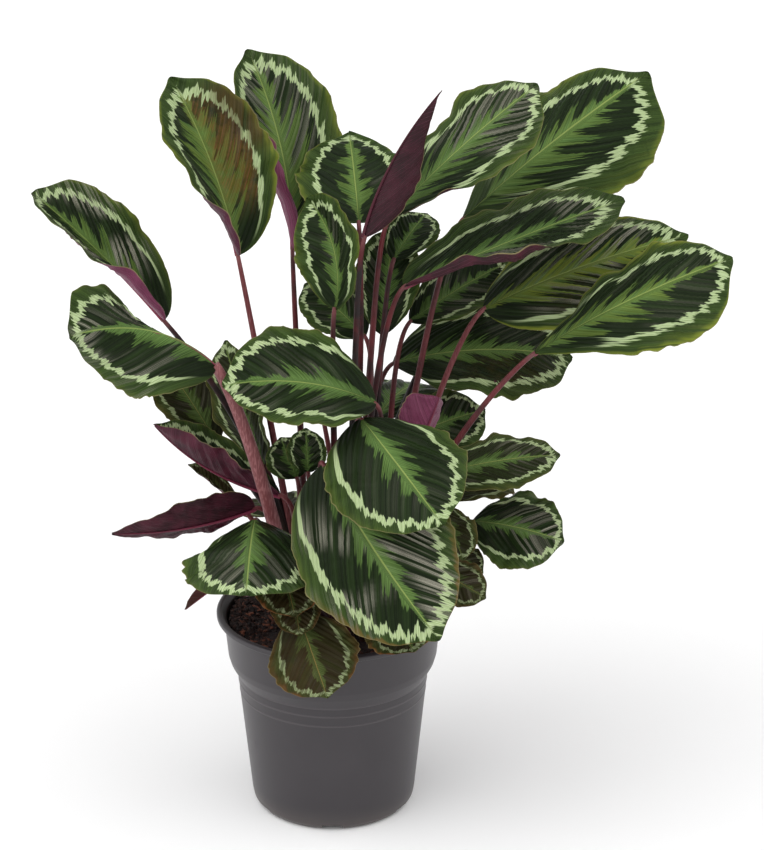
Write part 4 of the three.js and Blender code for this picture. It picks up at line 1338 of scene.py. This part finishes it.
class LeafSettings(bpy.types.PropertyGroup):
    stations: count_of("Stations", "Rows of points along a full leaf", 112, 8)
    columns: count_of("Columns", "Lines of points across a full leaf", 34, 5)
    full_width: size_of("Full width", "Leaves as wide as this get the finest mesh", 0.11)
    thickness: size_of("Thickness", "Thickness of the blade", 0.0006)
    relief: size_of("Relief", "Measure for the ridges between the veins and for the pleats", 0.0002)
    sway: size_of("Sway", "How far a full leaf bulges and dips between its edges", 0.009)
    vein_spacing: size_of("Vein spacing", "Distance between veins on a full leaf", 0.0075)
    rib_radius: size_of("Rib radius", "Radius of the midrib where the blade begins", 0.0018)
    field_dark: colour_of("Field, dark", "Dark green between the veins", "#0e140a")
    field_light: colour_of("Field, light", "Lighter strokes in the field", "#293a1b")
    # Colour of the painted sheen: streaks of painted highlight along the veins.
    painted_sheen: colour_of("Painted sheen", "Streaks of silver along the veins", "#a19e8e")
    feather_dark: colour_of("Feather, dark", "Green between barbs", "#263c18")
    feather_light: colour_of("Feather, light", "Green of the barbs", "#628044")
    ring: colour_of("Ring", "Mint green of the jagged ring", "#8ea56b")
    ring_pale: colour_of("Ring, pale", "Palest strokes of the ring", "#c4d3a6")
    band_dark: colour_of("Band, dark", "Green outside the ring", "#1b2712")
    band_light: colour_of("Band, light", "Vein strokes outside the ring", "#475d2b")
    # The margin's own yellow green, and also a painted glow of light shining through the thin edge.
    band_edge: colour_of("Band, edge", "Yellow green next to the edge", "#75802c")
    edge: colour_of("Edge", "Thin dry line round the leaf", "#8a8058")
    warm: colour_of("Warm", "Red brown of a leaf that fades", "#5f4f1e")
    brown: colour_of("Brown", "Brown of an old leaf", "#4a2f1a")
    scorched: colour_of("Scorched", "Rust brown of a dry edge", "#80502f")
    rib_top: colour_of("Midrib", "Midrib seen from above", "#8a9a55")
    rib_under: colour_of("Midrib below", "Midrib seen from below", "#8e3a52")
    wine: colour_of("Wine", "Underside", "#4c1828")
    wine_dark: colour_of("Wine, dark", "Underside in its dark parts", "#250910")
    purple: colour_of("Purple", "Underside of a young leaf", "#8c4668")
    vein_under: colour_of("Veins below", "Veins of the underside", "#94506a")


class StalkSettings(bpy.types.PropertyGroup):
    end_radius: size_of("End radius", "Radius of a stalk below its blade", 0.0019)
    swelling: share_of("Joint swelling", "How much thicker the joint below a blade is", 0.22)
    sides: count_of("Sides", "Sides of a stalk", 12, 3)
    steps: count_of("Steps", "Steps along a stalk", 40, 4)
    sheaths: count_of("Sheaths", "Short sheaths round each shoot's foot", 5, 0)
    stalk: colour_of("Stalk", "Burgundy of the stalks", "#5a181e")
    stalk_dark: colour_of("Stalk, dark", "Dark parts of the stalks", "#160809")
    stalk_pale: colour_of("Stalk, pale", "Pink streaks near the blade", "#925e5f")
    foot: colour_of("Foot", "Brown green of the sheathed foot", "#46301f")


class SoilSettings(bpy.types.PropertyGroup):
    reach: size_of("Reach", "Radius that the crumbs cover", 0.0935)
    bank: size_of("Bank", "How much higher the soil lies against the pot", 0.0095)
    crumbs: count_of("Crumbs", "Crumbs on each square metre", 110000)
    strips: count_of("Bark strips", "Strips on each square metre", 14000)
    crumb_size: size_of("Crumb size", "Radius of the largest crumb", 0.0034)
    strip_length: size_of("Strip length", "Length of the longest strip", 0.014)
    seed: count_of("Seed", "Another seed strews them differently", 4, 0)
    soil_dark: colour_of("Soil, dark", "Damp peat", "#120807")
    soil_brown: colour_of("Soil, brown", "Drier crumbs", "#321b12")
    bark: colour_of("Bark", "Bark strips", "#74402a")


class PotSettings(bpy.types.PropertyGroup):
    sides: count_of("Sides", "Sides of the turned pot", 144, 12)
    rounding: size_of("Rounding", "How far a rounded corner reaches", 0.0012)
    ring_depth: size_of("Ring depth", "How far the fine rings stand out", 0.0003)
    pot: colour_of("Pot", "Anthracite of the moulded pot", "#272327")
    # Lighter tone of the plastic, also used for the painted highlight lines on its rings and step.
    pot_pale_and_highlight: colour_of("Pot, pale and highlights", "Where the plastic looks lighter", "#4d474a")
    # Colour of the painted shade inside the rim, in peat brown.
    rim_shade: colour_of("Rim shade", "Painted shade inside the rim, in peat brown", "#20150f")
    pot_dust: colour_of("Dust", "Dust at the foot of the pot", "#8a7f76")


class StageSettings(bpy.types.PropertyGroup):
    floor_size: size_of("Floor size", "Side of the square floor", 40.0)
    floor: colour_of("Floor", "Pale floor", "#f6f6f6")
    ambient: share_of("Ambient light", "Strength of the white surroundings", 0.5, 5)
    key: share_of("Key light", "Strength of the light from the front left", 1.4, 20)
    side: share_of("Side lights", "Strength of the lights at both sides", 1.2, 20)
    camera_height: size_of("Camera height", "Height of the camera above the floor", 1.22)
    camera_away: size_of("Camera distance", "How far in front of the pot the camera is", 2.2)
    camera_right: size_of("Camera to the right", "How far right of the pot it is", 0.045)
    camera_down: bpy.props.FloatProperty(name="Looks down by", unit="ROTATION",
                                         subtype="ANGLE", default=math.radians(21.2),
                                         description="How far the camera looks down")
    lens: bpy.props.FloatProperty(name="Lens", description="Focal length for a 36 mm high frame",
                                  default=113.16, min=1, subtype="DISTANCE_CAMERA")


# ---- stage -----------------------------------------------------------------------------

# Where the lamps shine from and how far the camera sees, in metres, and how high a frame its
# lens is for, in millimetres.
KEY_PLACE = (-0.9, -1.7, 2.6)
LEFT_PLACE = (-2.2, -0.3, 1.4)
RIGHT_PLACE = (2.2, -0.4, 1.4)
SIGHT = 100
FRAME_HEIGHT = 36


def lay_floor(look):
    """A square floor, far wider than the view."""
    half = look.floor_size / 2
    mesh = bpy.data.meshes.new("floor")
    mesh.from_pydata([(-half, -half, 0), (half, -half, 0), (half, half, 0), (-half, half, 0)],
                     [], [(0, 1, 2, 3)])

    def draw(tree):
        cloud = grain(object_place(tree), 0.8, 2.0)
        return {"Base Color": mix(look.floor, (1, 1, 1), 0.5 * cloud)}

    mesh.materials.append(finish("Pale floor", draw, roughness=0.9))
    show("floor", mesh)


def white_world(strength):
    """Even white surroundings."""
    world = bpy.data.worlds.new("Studio")
    world.use_nodes = True
    background = world.node_tree.nodes["Background"]
    background.inputs["Color"].default_value = (1, 1, 1, 1)
    background.inputs["Strength"].default_value = strength
    return world


def hang_lamp(name, place, strength):
    """A wide soft light that shines from a place towards the pot's foot."""
    lamp = bpy.data.lights.new(name, "SUN")
    lamp.angle = LAMP_SPREAD
    lamp.energy = strength
    light = show(name, lamp)
    light.location = place
    light.rotation_euler = (-Vector(place)).to_track_quat("-Z", "Y").to_euler()


def set_camera(look):
    """A camera in front of the pot that looks down on it a little."""
    lens = bpy.data.cameras.new("Camera")
    lens.sensor_fit = "VERTICAL"
    lens.sensor_height = FRAME_HEIGHT
    lens.lens = look.lens
    lens.clip_end = SIGHT
    lens.dof.use_dof = False
    camera = show("Camera", lens)
    camera.location = (look.camera_right, -look.camera_away, look.camera_height)
    camera.rotation_euler = (math.pi / 2 - look.camera_down, 0, 0)
    bpy.context.scene.camera = camera


# ---- operators -------------------------------------------------------------------------


class CALATHEA_OT_pot(bpy.types.Operator):
    """Turns the pot with its rings, rounded edges and drain slots"""
    bl_idname = "calathea.pot"
    bl_label = "Pot"

    def execute(self, context):
        look = context.scene.calathea_pot
        outside = ringed(POT_OUTSIDE, look.ring_depth / MM)
        profile = eased(outside + POT_INSIDE, look.rounding / MM, ROUNDING_STEPS)
        body = show("pot_body", turned("pot_body", profile, look.sides))
        cutter = show("drain_cutter", drain_cutter())
        slots = body.modifiers.new("Drain slots", "BOOLEAN")
        slots.operation = "DIFFERENCE"
        slots.solver = "EXACT"
        slots.object = cutter
        depsgraph = context.evaluated_depsgraph_get()
        mesh = bpy.data.meshes.new_from_object(body.evaluated_get(depsgraph))
        if not mesh.polygons:
            raise RuntimeError("the drain slots removed the whole pot")
        body.modifiers.remove(slots)
        body.data = mesh
        bpy.data.objects.remove(cutter)
        mesh.shade_smooth()
        mesh.set_sharp_from_angle(angle=SHARP_CORNER)
        mesh.materials.clear()
        mesh.materials.append(finish("Moulded plastic", draw_pot(look)))
        settle(body, "pot", "pot")
        return {"FINISHED"}


class CALATHEA_OT_soil(bpy.types.Operator):
    """Gives the soil its colour and strews crumbs and bark over it"""
    bl_idname = "calathea.soil"
    bl_label = "Soil"

    def execute(self, context):
        look = context.scene.calathea_soil
        material = finish("Potting soil", draw_soil(look))
        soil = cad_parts["soil"]
        soil.data.materials.clear()
        soil.data.materials.append(material)
        crumbs = grow("soil_crumbs", soil_tree(material), {
            "Reach": look.reach, "Bank": look.bank, "Seed": look.seed,
            "Crumbs": float(look.crumbs), "Crumb Size": look.crumb_size,
            "Strips": float(look.strips), "Strip Length": look.strip_length})
        settle(crumbs, "soil")
        return {"FINISHED"}


class CALATHEA_OT_shoots(bpy.types.Operator):
    """Draws the stalks of each shoot from the soil to its leaves"""
    bl_idname = "calathea.shoots"
    bl_label = "Shoots"

    def execute(self, context):
        look = context.scene.calathea_stalk
        tree = shoot_tree(finish("Burgundy stalk", draw_stalk(look), specular=0.3))
        for name in SHOOTS:
            values = {"Sides": look.sides, "Joint Swelling": look.swelling}
            piece = grow("stalks_" + name, tree, values, shoot_curves(name, look))
            settle(piece, "stalk", "shoot_" + name)
        return {"FINISHED"}


class CALATHEA_OT_leaves(bpy.types.Operator):
    """Grows every leaf blade with its pattern, veins and rib"""
    bl_idname = "calathea.leaves"
    bl_label = "Leaves"

    def execute(self, context):
        look = context.scene.calathea_leaf
        tree = leaf_tree([finish("Leaf above", draw_upper(look), specular=0.07),
                          finish("Leaf below", draw_under(look), specular=0.25),
                          finish("Leaf rib", draw_rib(look), specular=0.25)])
        for index, name in enumerate(LEAVES):
            piece = grow("blade_" + name, tree, leaf_values(index, name, look))
            settle(piece, "leaf", "leaf_" + name)
        return {"FINISHED"}


class CALATHEA_OT_stage(bpy.types.Operator):
    """Lays the floor, hangs the lights and sets up the camera"""
    bl_idname = "calathea.stage"
    bl_label = "Stage"

    def execute(self, context):
        scene = context.scene
        look = scene.calathea_stage
        lay_floor(look)
        scene.world = white_world(look.ambient)
        hang_lamp("Key light", KEY_PLACE, look.key)
        hang_lamp("Left light", LEFT_PLACE, look.side)
        hang_lamp("Right light", RIGHT_PLACE, look.side)
        set_camera(look)
        scene.view_settings.view_transform = "Standard"
        return {"FINISHED"}


class CALATHEA_PT_panel(bpy.types.Panel):
    """The plant's pieces and their settings"""
    bl_idname = "CALATHEA_PT_panel"
    bl_label = "Calathea"
    bl_space_type = "VIEW_3D"
    bl_region_type = "UI"
    bl_category = "Calathea"

    def draw(self, context):
        scene = context.scene
        for operator, settings in (
                ("calathea.pot", scene.calathea_pot), ("calathea.soil", scene.calathea_soil),
                ("calathea.shoots", scene.calathea_stalk),
                ("calathea.leaves", scene.calathea_leaf),
                ("calathea.stage", scene.calathea_stage)):
            box = self.layout.box()
            box.operator(operator)
            for name in settings.bl_rna.properties.keys():
                if name not in ("rna_type", "name"):
                    box.prop(settings, name)


SETTINGS = {
    "calathea_leaf": LeafSettings, "calathea_stalk": StalkSettings,
    "calathea_soil": SoilSettings, "calathea_pot": PotSettings,
    "calathea_stage": StageSettings,
}
OPERATORS = (CALATHEA_OT_pot, CALATHEA_OT_soil, CALATHEA_OT_shoots, CALATHEA_OT_leaves,
             CALATHEA_OT_stage)


def register():
    for kind in (*SETTINGS.values(), *OPERATORS, CALATHEA_PT_panel):
        bpy.utils.register_class(kind)
    for name, kind in SETTINGS.items():
        setattr(bpy.types.Scene, name, bpy.props.PointerProperty(type=kind))


def unregister():
    for name in SETTINGS:
        delattr(bpy.types.Scene, name)
    for kind in (CALATHEA_PT_panel, *OPERATORS, *SETTINGS.values()):
        bpy.utils.unregister_class(kind)


def main():
    register()
    bpy.ops.calathea.pot()
    bpy.ops.calathea.soil()
    bpy.ops.calathea.shoots()
    bpy.ops.calathea.leaves()
    bpy.ops.calathea.stage()


if __name__ == "__main__":
    main()
